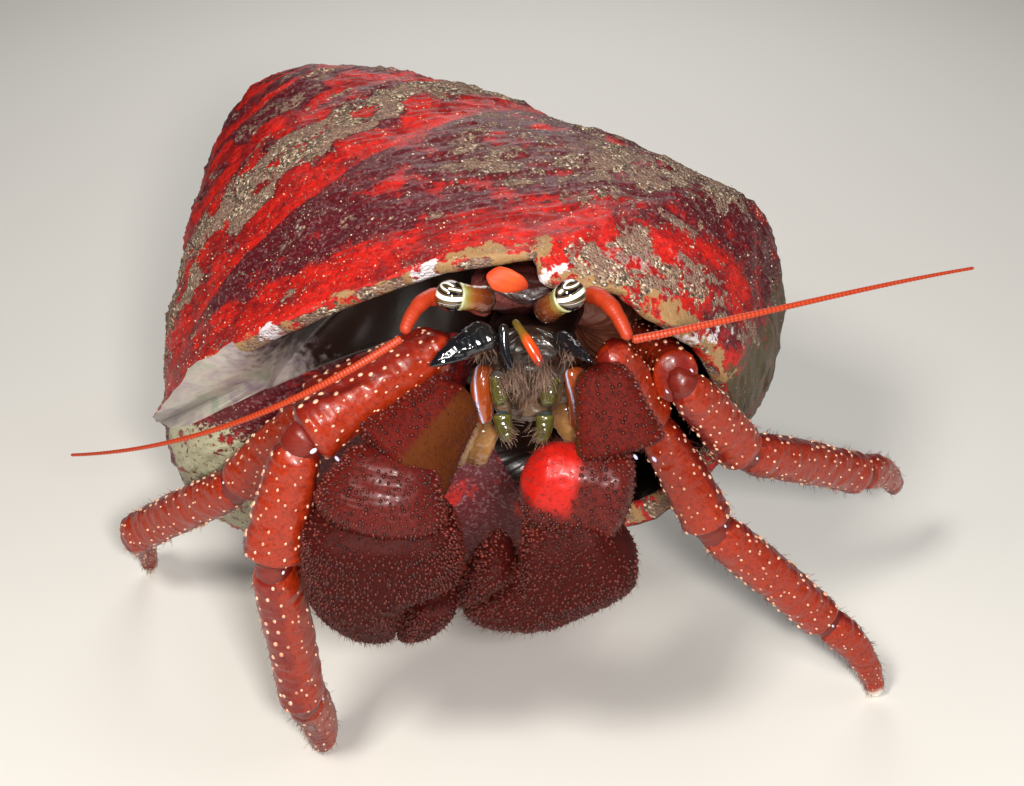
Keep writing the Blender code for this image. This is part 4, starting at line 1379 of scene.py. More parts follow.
        # The edge of the lip is rolled: rows between the outer chain and the hollow's first ring
        # stand forward by half the wall times the sine of their share.
        outer_chain = lip[first_row:foot_row + 1]
        stations = np.concatenate([np.arange(first_row, self.side_rows) / self.side_rows,
                                   1.0 + np.arange(deep_row + 1) / self.base_rows])
        forward = unit(self.face(np.full(wide, 0.01), stations) - self.face(np.full(wide, -0.01), stations))
        rows = [outer_chain]
        for share in (0.2, 0.5, 0.8):
            row = (points[outer_chain] * (1.0 - share) + points[one] * share
                   + forward * 0.5 * self.lip_wall * math.sin(math.pi * share))
            rows.append(len(points) + np.arange(wide))
            points = np.concatenate([points, row])
        rows.append(one)
        crust_quads.append(grid_quads(np.stack(rows, axis=1)))
        for chain, ring in ((np.concatenate([lip[foot_row:], pillar[::-1], inner[:deep_row - 1:-1]]), two),
                            (inner[deep_row:near_row - 1:-1], three),
                            (np.concatenate([inner[near_row::-1], lip[1:first_row + 1]]), four)):
            pearl_tris.append(zip_chains(points, chain, ring))

        total = len(points)
        full = {name: np.append(values, np.full(total - len(values), -1.0)) for name, values in marks.items()}
        chips = 2.0 * Noise(31)(points[outer_chain], 1.3, 3)
        for row in rows[1:]:
            for name in ("dark", "pink", "pearl"):
                full[name][row] = full[name][outer_chain]
            full["silt"][row] = 0.55 + 0.5 * chips
            full["ochre"][row] = 0.5 - 0.6 * chips
        # Painted shade on the nacre: it grows towards the crab's left and upwards, is eased low on the crab's
        # left, and deepens into the hollow.
        shade = smooth(points[:, 0] + 0.6 * (points[:, 2] - 40.0), -27.0, -13.0)
        shade = shade * (1.0 - 0.6 * smooth(points[:, 0], 8.0, 16.0) * smooth(44.0 - points[:, 2], 0.0, 8.0))
        full["deep"] = 0.1 + 0.9 * shade
        full["deep"][hollow] = np.maximum(full["deep"][hollow], smooth(depth, 0.0, 0.25)[:, None])
        outside = Patch(points, np.concatenate(crust_quads), crust_tris, full, 0)
        # The nacre has no points of its own: its faces count back into the outside's.
        inside = Patch(np.zeros((0, 3)), pearl_quads - total, np.concatenate(pearl_tris) - total, {}, 1)
        face_outward(make_piece("shell_wall", [outside, inside], [CRUST, NACRE], "shell", ["shell"]))

    def apex(self, whorls: int = 5, columns: int = 180, rows: int = 18) -> None:
        """The small first whorls, which carry the same spiral on from the wall's top to its tip.

        Args:
            whorls: How many of them.
            columns: Growth steps in one turn.
            rows: Steps across a whorl.
        """
        cover, axis = self.cover(columns), self.axes()[0]
        last = whorls * cover
        growth, station, side, _ = self.whorls(last, columns, rows, -TAU * self.turns)
        points, marks = self.surface(growth, station)
        top = np.concatenate([side[:cover + 1, 0], side[0, rows - 1:0:-1]])
        foot = np.concatenate([side[last - cover:, -1], side[last, rows - 1:0:-1]])
        ends = [fan(loop, len(points) + k) for k, loop in enumerate((top, foot))]
        tip = np.array(self.foot) + axis * (self.height - 0.6)
        points = np.concatenate([points, [tip, points[foot].mean(axis=0) - axis * 3.0]])
        marks = {name: np.append(values, (0.3, 0.3)) for name, values in marks.items()}
        face_outward(make_piece("shell_apex", [Patch(points, grid_quads(side), np.concatenate(ends), marks)],
                                [CRUST], "shell"))

    def grains(self, count: int = 40000) -> None:
        """Loose silt grains that lie on the shell where the silt does, in two pieces, upper and lower.

        Args:
            count: Grains tried; those off the silt are dropped.
        """
        draw = np.random.default_rng(77)
        growth = -TAU * draw.uniform(0.0, 1.6, count) ** 1.2
        station = draw.uniform(0.02, 1.35, count)
        open_side = (growth > -TAU * (1.0 - self.shoulder_lag / TAU)) | (station < 0.98)
        places, marks = self.surface(growth, station)
        chance = smooth(marks["silt"] + 0.3 * draw.normal(size=count), 0.2, 0.7) * 0.4 + 0.4
        kept = open_side & (draw.uniform(size=count) < chance) & (places[:, 2] > 1.0)
        places, growth, station = places[kept], growth[kept], station[kept]
        normals = self.outward(growth, station)
        tangents = unit(np.cross(normals, unit(draw.normal(size=normals.shape))))
        sizes = 0.04 + 0.06 * draw.uniform(size=len(places)) ** 4
        tones = draw.uniform(size=len(places)) ** 2.0
        for end, group in zip(("upper", "lower"), np.array_split(np.argsort(growth), 2)):
            patch = domes(places[group], normals[group], tangents[group], sizes[group], 1.3, 0.9, 4, 0,
                          tones[group])
            make_piece(f"silt_grains_{end}", [patch], [SILT_GRAIN], "shell")


def face_outward(piece: bpy.types.Object) -> None:
    """Turn every face of a closed mesh outwards.

    Args:
        piece: The mesh object.
    """
    mesh = bmesh.new()
    mesh.from_mesh(piece.data)
    bmesh.ops.recalc_face_normals(mesh, faces=mesh.faces)
    mesh.to_mesh(piece.data)
    mesh.free()


# ---- walking legs --------------------------------------------------------------------------------
class Tip(Enum):
    """How the last segment of a leg ends."""

    PLAIN = "plain"
    WHITE = "white"
    # A tip darkened as painted shade.
    DARK = "dark"


SEGMENTS = ("merus", "carpus", "propodus", "dactyl")
HALF_WIDTHS = ((2.0, 2.45), (2.35, 2.35), (2.35, 2.15), (2.15, 1.0))
PROFILES = (((0.0, 0.75), (0.1, 0.9), (0.4, 0.96), (0.8, 1.0), (0.93, 1.07), (1.0, 1.02)),
            ((0.0, 0.64), (0.15, 0.86), (0.5, 0.98), (0.88, 1.07), (1.0, 1.02)),
            ((0.0, 0.74), (0.1, 0.94), (0.4, 1.0), (0.85, 1.0), (0.96, 1.06), (1.0, 0.98)),
            ((0.0, 0.7), (0.1, 0.94), (0.3, 1.0), (0.7, 0.98), (0.9, 0.9), (1.0, 0.8)))
SETAE_PER_MM = (7.0, 7.0, 10.0, 16.0)
CAPS = ((0.7, 0.4), (0.6, 0.4), (0.6, 0.4), (0.6, 1.6))
CUTICLE = Noise(3)


def cuticle_relief(length: float, half: float, size: float = 1.3, height: float = 0.11) -> Relief:
    """Gentle lumps and cross wrinkles of a plate, on its unrolled cylinder.

    Args:
        length: Length of the plate.
        half: Half width of the plate.
        size: Size of the lumps.
        height: Height of the lumps.

    Returns:
        The relief.
    """
    def relief(shares: Array, angles: Array) -> Array:
        """Height of the lumps, plus 0.6 of a noise that is squeezed along the plate.

        Args:
            shares: Shares of the path, 0 to 1.
            angles: Angles round it, in radians.

        Returns:
            Heights in millimetres.
        """
        spots = np.stack([shares * length, half * np.cos(angles), half * np.sin(angles)], axis=-1)
        wrinkle = CUTICLE(spots * np.array((2.6, 0.7, 0.7)), size, 2)
        return height * (CUTICLE(spots + 7.0, size, 2) + 0.6 * wrinkle)
    return relief


def lengthwise(shares: Array, _: Array) -> dict[str, Array]:
    """The along mark, which is the share of the length."""
    return {"along": shares}


def edged(_: Array, angles: Array) -> dict[str, Array]:
    """The edge mark of a flat plate: its two edges, where the cosine of the angle is near one."""
    return {"edge": smooth(np.abs(np.cos(angles)), 0.5, 0.95)}


ROUND = ((0.0, 0.85), (0.15, 0.97), (0.5, 1.0), (0.85, 0.97), (1.0, 0.85))
LENS = ((0.0, 0.6), (0.25, 0.92), (0.5, 1.0), (0.75, 0.92), (1.0, 0.55))
BLADE = ((0.0, 0.85), (0.2, 1.0), (0.6, 0.85), (0.85, 0.55), (1.0, 0.2))


@dataclass(frozen=True)
class Part:
    """A plain limb in one finish, which stands for the CAD node of its name."""

    name: str
    slot: str
    finish: Finish
    path: Rows
    halves: Pair                       # half width at the start and at the end
    profile: Rows = ROUND
    flatness: float = 1.0
    relief: Relief | None = None
    side: Sequence[float] = tuple(LEFT)
    caps: Pair = (0.8, 0.8)
    power: float = 2.0
    grid: tuple[int, int] = (60, 44)   # points along the limb, and round it
    marks: Marks = lengthwise
    suffix: str = "skin"

    def build(self) -> None:
        """Build the limb as one piece."""
        tube = limb(self.path, *self.halves, self.profile, self.side, self.flatness, self.caps, self.power,
                    self.relief)
        make_piece(f"{self.name}_{self.suffix}", [tube.patch(*self.grid, self.marks)], [self.finish],
                   self.slot, [self.name])


@dataclass(frozen=True)
class WalkingLeg:
    """A walking leg of four plates between joints, worked back from where its tip stands."""

    name: str
    tip: Point
    girth: float
    segments: tuple[Point, ...]        # length, heading and pitch of each
    end: Tip
    seed: int
    last_half: float = 1.0             # half width where the last segment starts to round off
    flatness: float = 0.86
    knuckle: float = 0.1               # share of the half width that clears a bend
    gap: float = 0.06                  # between two plates, in millimetres
    sag: float = 1.1                   # how far the last plate bows
    bow: float = 0.35                  # how far the others bow
    root_gap: float = 1.2              # from the body to the first plate
    power: float = 2.15                # squareness of a plate's section
    row_spacing: float = 1.08          # between spots along a plate
    rows_round: int = 12               # rows of spots round a plate
    skin_step: float = 0.16            # between rows of the plate's mesh
    skin_columns: int = 56
    seta_half: float = 0.026

    def joints(self) -> tuple[list[Array], list[Array]]:
        """Joint places from the body to the tip, and each segment's direction.

        Returns:
            Five places and four unit vectors.
        """
        aims = [heading(turn, rise) for _, turn, rise in self.segments]
        joints = [np.array(self.tip, dtype=float)]
        for (length, _, _), aim in zip(reversed(self.segments), reversed(aims)):
            joints.insert(0, joints[0] - aim * length)
        return joints, aims

    def pull(self, before: Array, after: Array, half: float) -> float:
        """How far two plates stop short of the bend between them."""
        opening = math.acos(float(np.clip(-before @ after, -1.0, 1.0)))
        return self.gap / math.sin(opening / 2.0) + self.knuckle * half / math.tan(opening / 2.0)

    def plates(self) -> list[Tube]:
        """The four plates.

        Returns:
            A tube for each segment.
        """
        joints, aims = self.joints()
        plates = []
        for k, halves in enumerate(HALF_WIDTHS):
            last = k + 1 == len(HALF_WIDTHS)
            near, far = (self.girth * half for half in halves)
            far = self.last_half if last else far
            start = joints[k] + aims[k] * (self.pull(aims[k - 1], aims[k], near) if k else self.root_gap)
            end = joints[k + 1] - (0.0 if last else aims[k] * self.pull(aims[k], aims[k + 1], far))
            bow = np.cross(unit(np.cross(aims[k], UP)), aims[k]) * (self.sag * 2.0 if last else self.bow)
            plates.append(limb((start, (start + end) / 2.0 + bow, end), near, far, PROFILES[k], UP,
                               self.flatness, CAPS[k], self.power, cuticle_relief(self.segments[k][0], near)))
        return plates

    def spots(self, plate: Tube, number: int, draw: np.random.Generator) -> Patch:
        """Rows of pale oval bumps along a plate, larger along its two edges.

        Args:
            plate: The plate.
            number: Its number, from the body.
            draw: Source of the scatter.

        Returns:
            The bumps.
        """
        low, high = (0.05, 0.97) if number < 3 else (0.05, 0.9)
        count = max(3, int(plate.length * (high - low) / self.row_spacing))
        row, step = np.meshgrid(np.arange(self.rows_round), np.arange(count), indexing="ij")
        angles = TAU * (row + 0.12 * draw.normal(size=row.shape)) / self.rows_round
        angles = angles + 0.25 * np.sin(step * 1.7) + TAU * draw.uniform()
        step = step + 0.5 * (row % 2) + 0.22 * draw.normal(size=row.shape) + 0.25
        shares = low + (high - low) * step / count
        kept = draw.uniform(size=row.shape) < (0.8 if number < 2 else 0.62)
        kept &= (shares > low) & (shares < high)
        shares, angles = shares[kept], angles[kept]
        edge = np.abs(np.cos(angles))
        size = 0.1 + 0.05 * draw.uniform(size=len(shares)) + 0.08 * smooth(edge, 0.75, 0.98)
        size = size * (1.0 if number < 3 else 0.8) * plate.along(plate.wide, shares) / plate.wide.max()
        roots, normals, tangents = plate.at(shares, angles)
        tone = np.clip(0.75 + 0.25 * draw.normal(size=len(shares)), 0.2, 1.0)
        return domes(roots, normals, tangents, size, 1.35, 0.75, 7, 1, tone)

    def marks(self, last: bool) -> Marks:
        """Marks of a plate; the last one has no rim at its joint, and may have a tip of another colour.

        Args:
            last: Whether it is the last plate.

        Returns:
            Gives the marks from shares and angles.
        """
        def plate(shares: Array, angles: Array) -> dict[str, Array]:
            """Deeper colour along the edges and at both rims, and the tip's share.

            Args:
                shares: Shares of the path, 0 to 1.
                angles: Angles round it, in radians.

            Returns:
                The marks by name.
            """
            rim = 0.7 * smooth(shares, 0.95, 0.99) + 0.5 * (1.0 - smooth(shares, 0.0, 0.06))
            return {"edge": 0.75 * smooth(np.abs(np.cos(angles)), 0.62, 0.98) + rim * (not last),
                    "tip": smooth(shares, 0.86, 0.95) * (last and self.end is not Tip.PLAIN)}
        return plate

    def build(self) -> None:
        """Build the plates with their spots, the joints between them, and the bristles."""
        draw = np.random.default_rng(self.seed)
        finish = {Tip.PLAIN: LEG_CHITIN, Tip.WHITE: LEG_WHITE_TIP, Tip.DARK: LEG_DARK_TIP}[self.end]
        plates = self.plates()
        for number, (segment, plate) in enumerate(zip(SEGMENTS, plates)):
            skin = plate.patch(int(plate.length / self.skin_step), self.skin_columns,
                               self.marks(number == len(plates) - 1))
            skin.points[:, 2] = np.maximum(skin.points[:, 2], 0.0)
            make_piece(f"{self.name}_{segment}_plate", [skin, self.spots(plate, number, draw)],
                       [finish, SPOT], "exoskeleton", [f"{self.name}_{segment}"])
        self.hinges(plates)
        self.bristles(plates, draw)

    def hinges(self, plates: list[Tube]) -> None:
        """Soft membrane in each joint, with a knob on both sides of it that is coloured as a painted glint.

        Args:
            plates: The leg's plates, from the body.
        """
        joints, aims = self.joints()
        skins, places, sides, ways, sizes = [], [], [], [], []
        for k in range(1, len(plates)):
            before, after = plates[k - 1], plates[k]
            # Stations near both plates' ends give the membrane's width and the ends of its path.
            sharp = float(aims[k - 1] @ aims[k]) < -0.2
            half = (0.72 if sharp else 0.87) * min(before.wide[-20], after.wide[26])
            skin = limb((before.centres[-12], joints[k], after.centres[12]), half, half,
                        ((0.0, 0.96), (0.5, 0.9), (1.0, 0.96)), UP, self.flatness, (0.2, 0.2), 2.0,
                        cuticle_relief(4.0, 1.5, 0.7, 0.1))
            skins.append(skin.patch(26, 36, lengthwise))
            # The knobs on both sides are painted glints: pearly blue-white domes.
            axis = unit(np.cross(aims[k - 1], aims[k]) + 1e-6)
            for way in (1.0, -1.0):
                places.append(joints[k] + axis * way * half * 1.02 - aims[k - 1] * 0.2)
                sides.append(axis * way)
                ways.append(aims[k - 1])
                sizes.append(0.22 if k < 2 else 0.13)
        knobs = domes(*(np.array(each) for each in (places, sides, ways)), np.array(sizes) * self.girth,
                      1.5, 0.7, 14, 1, np.full(len(places), 0.7))
        make_piece(f"{self.name}_joints", [*skins, knobs], [HINGE_SKIN, PEARLY_KNOB], "exoskeleton")

    def bristles(self, plates: list[Tube], draw: np.random.Generator) -> None:
        """Short stiff setae, thickest along the edges and on the last segment.

        Args:
            plates: The leg's plates, from the body.
            draw: Source of the scatter.
        """
        coat = Coat()
        for number, plate in enumerate(plates):
            count = int(plate.length * SETAE_PER_MM[number])
            shares = draw.uniform(0.05, 0.95, count)
            angles = TAU * draw.uniform(size=count)
            edge = np.abs(np.cos(angles))
            kept = draw.uniform(size=count) < 0.18 + 0.82 * smooth(edge, 0.6, 0.95)
            shares, angles = shares[kept], angles[kept]
            roots, normals, tangents = plate.at(shares, angles)
            ways = unit(normals + 0.85 * tangents + 0.25 * draw.normal(size=normals.shape))
            lengths = 0.35 + 0.55 * draw.uniform(size=len(shares)) ** 2
            coat.add(roots, ways, 0.25 * tangents + 0.08 * draw.normal(size=normals.shape), lengths,
                     self.seta_half,
                     np.stack([(number + shares) / len(plates), np.mod(angles / TAU, 1.0)], axis=-1))
        patch = coat.patch()
        patch.points[:, 2] = np.maximum(patch.points[:, 2], 0.0)
        make_piece(f"{self.name}_bristles", [patch], [BRISTLE], "exoskeleton")


LEGS = (
    WalkingLeg("second_leg_right", (-18.6, -37.9, 0.0), 1.08, ((16.5, -61.7, -21.4), (13.0, -90.3, -75.6),
               (19.7, 161.2, -78.2), (13.0, 170.5, -61.7)), Tip.PLAIN, 31, 1.75),
    WalkingLeg("second_leg_left", (37.5, -30.0, 0.0), 0.96, ((13.6, 140.0, -57.4), (13.0, 82.8, -62.1),
               (19.7, 109.9, -48.1), (13.0, 104.2, -58.7)), Tip.WHITE, 32),
    WalkingLeg("third_leg_right", (-40.4, -8.6, 0.0), 0.96, ((16.0, -98.8, -35.3), (14.5, -114.6, -51.5),
               (22.0, -128.6, -38.8), (14.0, -176.9, -52.0)), Tip.WHITE, 33),
    WalkingLeg("third_leg_left", (41.4, -11.3, 12.7), 0.95, ((16.6, 10.3, 13.0), (14.5, 130.8, -51.7),
               (22.0, 132.5, -30.6), (13.0, 145.2, -37.5)), Tip.DARK, 34),
)


# ---- claws ---------------------------------------------------------------------------------------
HAND = ((0.0, 0.0, 0.78, 0.8), (0.1, 0.0, 0.93, 0.95), (0.27, 0.0, 1.0, 1.0), (0.45, 0.0, 1.0, 1.0),
        (0.55, 0.33, 0.66, 0.95), (0.7, 0.33, 0.54, 0.82), (0.86, 0.26, 0.36, 0.58), (1.0, 0.1, 0.16, 0.3))
FREE_FINGER = ((0.56, -0.66, 0.28, 0.7), (0.62, -0.64, 0.3, 0.82), (0.74, -0.54, 0.29, 0.76),
               (0.88, -0.37, 0.22, 0.54), (1.0, -0.14, 0.12, 0.28))


def hand_tube(sections: Rows, wrist: Array, tip: Array, fixed: Array, half_width: float,
              half_thick: float, caps: Pair) -> Tube:
    """A claw's hand or free finger.

    Args:
        sections: Rows of (share, sideways shift, half width, half thickness), in shares of the hand's.
        wrist: Where the hand starts.
        tip: Where the fingers end.
        fixed: Way of the fixed finger.
        half_width: Half width of the hand.
        half_thick: Half thickness of the hand.
        caps: Shares of the length that round off.

    Returns:
        The limb.
    """
    shares, reach = np.linspace(sections[0][0], sections[-1][0], STATIONS), np.linspace(0.0, 1.0, STATIONS)
    along = tip - wrist
    across = unit(fixed - along * (fixed @ along) / (along @ along))
    over = unit(np.cross(along, across))
    shift, wide, thick = (eased(shares, sections, column) for column in (1, 2, 3))
    centres = wrist + along * shares[:, None] + across * (shift * half_width)[:, None]
    close = closing(reach / caps[0]) * closing((1.0 - reach) / caps[1])
    return Tube(centres, across + np.zeros((STATIONS, 3)), over + np.zeros((STATIONS, 3)),
                wide * half_width * close, thick * half_thick * close, 2.7,
                cuticle_relief(float(np.linalg.norm(along)), half_width, 1.2, 0.12))


@dataclass(frozen=True)
class Cover:
    """How one part of a claw is covered: a skin, packed grains, and short setae between them."""

    finish: Finish
    steps: int                         # points along the skin, and round it
    rim: float                         # how far the two edges take the edge colour
    spacing: float                     # between grains
    grain: Pair                        # smallest and largest half width of a grain
    setae: int
    longest: float                     # longest seta
    area: Pair                         # the part's strip of the setae's unwrap

    def build(self, part: str, tube: Tube, draw: np.random.Generator, coat: Coat,
              bare: Relief | None = None) -> None:
        """Build the part's piece and add its setae to the claw's coat.

        Args:
            part: Name of the CAD node.
            tube: The part's shape.
            draw: Source of the scatter.
            coat: Where the setae are kept.
            bare: Gives the smooth part, as 1, from shares and angles.
        """
        def marks(shares: Array, angles: Array) -> dict[str, Array]:
            """Edge colour by the cosine of the angle, and the tip's colour on the smooth part."""
            values = {"edge": self.rim * np.abs(np.cos(angles))}
            return {**values, "tip": bare(shares, angles)} if bare else values

        skin = tube.patch(self.steps, self.steps, marks)
        grains = self.grains(tube, draw, bare)
        shares, angles = draw.uniform(0.03, 0.98, self.setae), TAU * draw.uniform(size=self.setae)
        roots, normals, tangents = tube.at(shares, angles)
        ways = unit(normals + 0.9 * tangents + 0.3 * draw.normal(size=normals.shape))
        lengths = self.longest * (0.45 + 0.55 * draw.uniform(size=self.setae))
        start, end = self.area
        spots = np.stack([start + (end - start) * shares, np.mod(angles / TAU, 1.0)], axis=-1)
        coat.add(roots, ways, 0.2 * draw.normal(size=normals.shape), lengths, 0.022, spots)
        make_piece(f"{part}_skin", [skin, grains], [self.finish, GRANULE], "claw", [part])

    def grains(self, tube: Tube, draw: np.random.Generator, bare: Relief | None) -> Patch:
        """Grains packed over the part, larger and paler along its two edges.

        Args:
            tube: What they sit on.
            draw: Source of their scatter.
            bare: Gives where there are none, as 1, from shares and angles.

        Returns:
            The grains.
        """
        shares, angles = tube.scatter(self.spacing, draw, 0.02, 0.97)
        if bare:
            kept = draw.uniform(size=len(shares)) > bare(shares, angles)
            shares, angles = shares[kept], angles[kept]
        edge = smooth(np.abs(np.cos(angles)), 0.8, 0.99)
        least, most = self.grain
        large = np.clip(0.7 * draw.uniform(size=len(shares)) ** 1.5 + 0.4 * edge, 0.0, 1.0)
        roots, normals, tangents = tube.at(shares, angles)
        tone = np.clip(0.3 + 0.25 * draw.normal(size=len(shares)) + 0.35 * edge, 0.0, 1.0)
        return domes(roots, unit(normals + 0.3 * tangents), tangents, least + (most - least) * large, 1.05,
                     1.15, 6, 1, tone)


COVERS = {"merus": Cover(CLAW_MERUS, 110, 0.3, 0.5, (0.11, 0.25), 1400, 0.6, (0.0, 0.25)),
          "carpus": Cover(CLAW_CARPUS, 120, 0.3, 0.46, (0.12, 0.24), 1200, 0.6, (0.25, 0.5)),
          "palm": Cover(CLAW_CHITIN, 110, 0.4, 0.38, (0.1, 0.2), 2400, 0.75, (0.5, 0.8)),
          "dactyl": Cover(CLAW_CHITIN, 110, 0.4, 0.38, (0.1, 0.2), 800, 0.75, (0.8, 1.0))}


@dataclass(frozen=True)
class Claw:
    """One claw: strip-like ischium, three-sided merus, carpus, and a closed granular hand."""

    side: str
    ischium: tuple[Point, ...]
    merus: tuple[Point, ...]
    merus_halves: Pair
    merus_way: Point
    merus_flatness: float
    plane_angle: float                 # where round the merus the smooth brown plane lies
    carpus: tuple[Point, ...]
    carpus_halves: Pair
    carpus_way: Point
    carpus_flatness: float
    carpus_smooth: Pair                # angle and reach of the polished part of the carpus
    wrist: Point
    tip: Point
    fixed: Point
    half_width: float
    half_thick: float
    glints: tuple[Point, ...]
    seed: int

    def build(self) -> None:
        """Build the claw's parts and their short hairs."""
        draw, coat, name = np.random.default_rng(self.seed), Coat(), f"claw_{self.side}"
        self.build_ischium(name)
        COVERS["merus"].build(f"{name}_merus", self.merus_tube(), draw, coat, self.plane)
        COVERS["carpus"].build(f"{name}_carpus", self.carpus_tube(), draw, coat, self.polished)
        wrist, tip, fixed = (np.array(value, dtype=float) for value in (self.wrist, self.tip, self.fixed))
        for part, sections, caps in (("palm", HAND, (0.12, 0.1)), ("dactyl", FREE_FINGER, (0.2, 0.2))):
            tube = hand_tube(sections, wrist, tip, fixed, self.half_width, self.half_thick, caps)
            COVERS[part].build(f"{name}_{part}", tube, draw, coat)
        make_piece(f"{name}_hair", [coat.patch()], [CLAW_HAIR], "claw")
        # Painted glints: small blue-white domes at the glint places, turned towards the camera.
        places = np.array(self.glints)
        facing = unit(np.array((0.0, -0.85, 0.53)) + 0.0 * places)
        knobs = domes(places, facing, unit(np.cross(facing, UP) + 0.4), np.full(len(places), 0.15), 1.9, 0.5,
                      12, 0, np.full(len(places), 0.35))
        make_piece(f"{name}_knobs", [knobs], [PEARLY_KNOB], "claw")

    def build_ischium(self, name: str) -> None:
        """The short orange strip at the claw's root, with a blue-white painted highlight along it.

        Args:
            name: Start of the piece's name.
        """
        def line(shares: Array, angles: Array) -> dict[str, Array]:
            """The painted highlight mark: two bells that slant round the strip, one seen from either side.

            Args:
                shares: Shares of the path, 0 to 1.
                angles: Angles round it, in radians.

            Returns:
                The marks by name.
            """
            slant = 0.5 - 0.9 * (shares - 0.5)
            bells = [hump(apart(angles, slant + front), 0.0, 0.22)
                     for front in (-math.pi / 2.0, math.pi / 2.0)]
            return {"line": np.maximum(*bells)}

        Part(f"{name}_ischium", "claw", BASAL_STRIP, self.ischium, (1.1, 0.95),
             ((0.0, 0.8), (0.3, 1.0), (0.8, 0.95), (1.0, 0.8)), 0.9, cuticle_relief(5.0, 1.0, 0.8, 0.04),
             caps=(0.5, 0.5), grid=(50, 40), marks=line, suffix="strip").build()

    def plane(self, _: Array, angles: Array) -> Array:
        """Where the merus has its smooth brown plane, as 1."""
        return 1.0 - smooth(np.abs(apart(angles, self.plane_angle)), 0.95, 1.12)

    def polished(self, shares: Array, angles: Array) -> Array:
        """Where the carpus is polished, as 1.

        Args:
            shares: Shares of the path, 0 to 1.
            angles: Angles round it, in radians.

        Returns:
            One value for each place.
        """
        angle, reach = self.carpus_smooth
        away = np.abs(apart(angles, angle))
        return smooth(shares, 1.0 - reach, 1.12 - reach) * (1.0 - smooth(away, 1.5, 2.0))

    def merus_tube(self) -> Tube:
        """The three-sided merus, which has a corner at each third of a turn.

        Returns:
            The tube.
        """
        start, end = (np.array(point) for point in self.merus)
        step = unit(end - start) * 0.3
        corner = self.plane_angle + math.pi / 3.0
        plain = cuticle_relief(8.0, 3.0, 1.0, 0.06)

        def relief(shares: Array, angles: Array) -> Array:
            """The cuticle's relief, plus a cosine of three times the angle from a corner."""
            return plain(shares, angles) + 0.28 * np.cos(3.0 * (angles - corner)) * smooth(shares, 0.0, 0.3)

        return limb((start - step, end + step), *self.merus_halves,
                    ((0.0, 0.7), (0.15, 0.95), (0.5, 0.98), (0.88, 1.04), (1.0, 0.95)), self.merus_way,
                    self.merus_flatness, (0.4, 0.25), 2.3, relief)

    def carpus_tube(self) -> Tube:
        """The rounded carpus.

        Returns:
            The tube.
        """
        return limb(self.carpus, *self.carpus_halves,
                    ((0.0, 0.72), (0.15, 0.92), (0.5, 1.0), (0.85, 1.0), (1.0, 0.86)), self.carpus_way,
                    self.carpus_flatness, (0.35, 0.55), 2.2, cuticle_relief(8.0, 4.0, 1.4, 0.09))


CLAWS = (
    Claw("right", ((-2.2, -41.9, 47.0), (-2.9, -43.6, 45.0), (-2.3, -43.4, 42.2)),
         ((-4.3, -43.6, 45.6), (-10.0, -47.5, 40.4)), (2.6, 5.3), (0.75, 0.0, -0.65), 0.55, 0.7,
         ((-9.9, -48.0, 42.6), (-11.7, -49.6, 34.6)), (3.7, 6.7), (1.0, 0.0, 0.0), 0.6, (0.0, -0.2),
         (-11.5, -49.2, 37.2), (-10.9, -46.0, 20.8), (-1.0, 0.0, 0.0), 7.0, 4.2,
         ((-14.6, -49.4, 42.4), (-13.4, -50.3, 40.9), (-12.5, -50.8, 39.7)), 41),
    Claw("left", ((5.2, -41.9, 46.8), (5.9, -43.6, 44.6), (5.7, -43.5, 41.6)),
         ((7.3, -43.9, 48.0), (9.2, -46.6, 41.4)), (2.1, 3.8), (1.0, 0.0, 0.0), 0.7, 3.6,
         ((10.2, -46.9, 36.4), (0.7, -47.1, 38.8)), (5.2, 3.5), (0.0, 0.0, 1.0), 0.72, (0.0, 0.5),
         (9.8, -47.5, 33.4), (-4.6, -46.4, 24.4), (0.5, 0.0, -0.87), 5.0, 4.0,
         ((8.6, -47.8, 41.9), (10.4, -48.1, 41.7), (12.0, -48.0, 41.4)), 42),
)


# ---- head ----------------------------------------------------------------------------------------
FACE_TILT = math.radians(32.0)         # how far the eyes' stripes are turned up from level
FACE_UP = np.array((0.0, math.sin(FACE_TILT), math.cos(FACE_TILT)))
STRIPE_SLOPE = 1.6                     # how fast the stripe mark grows inside a stroke


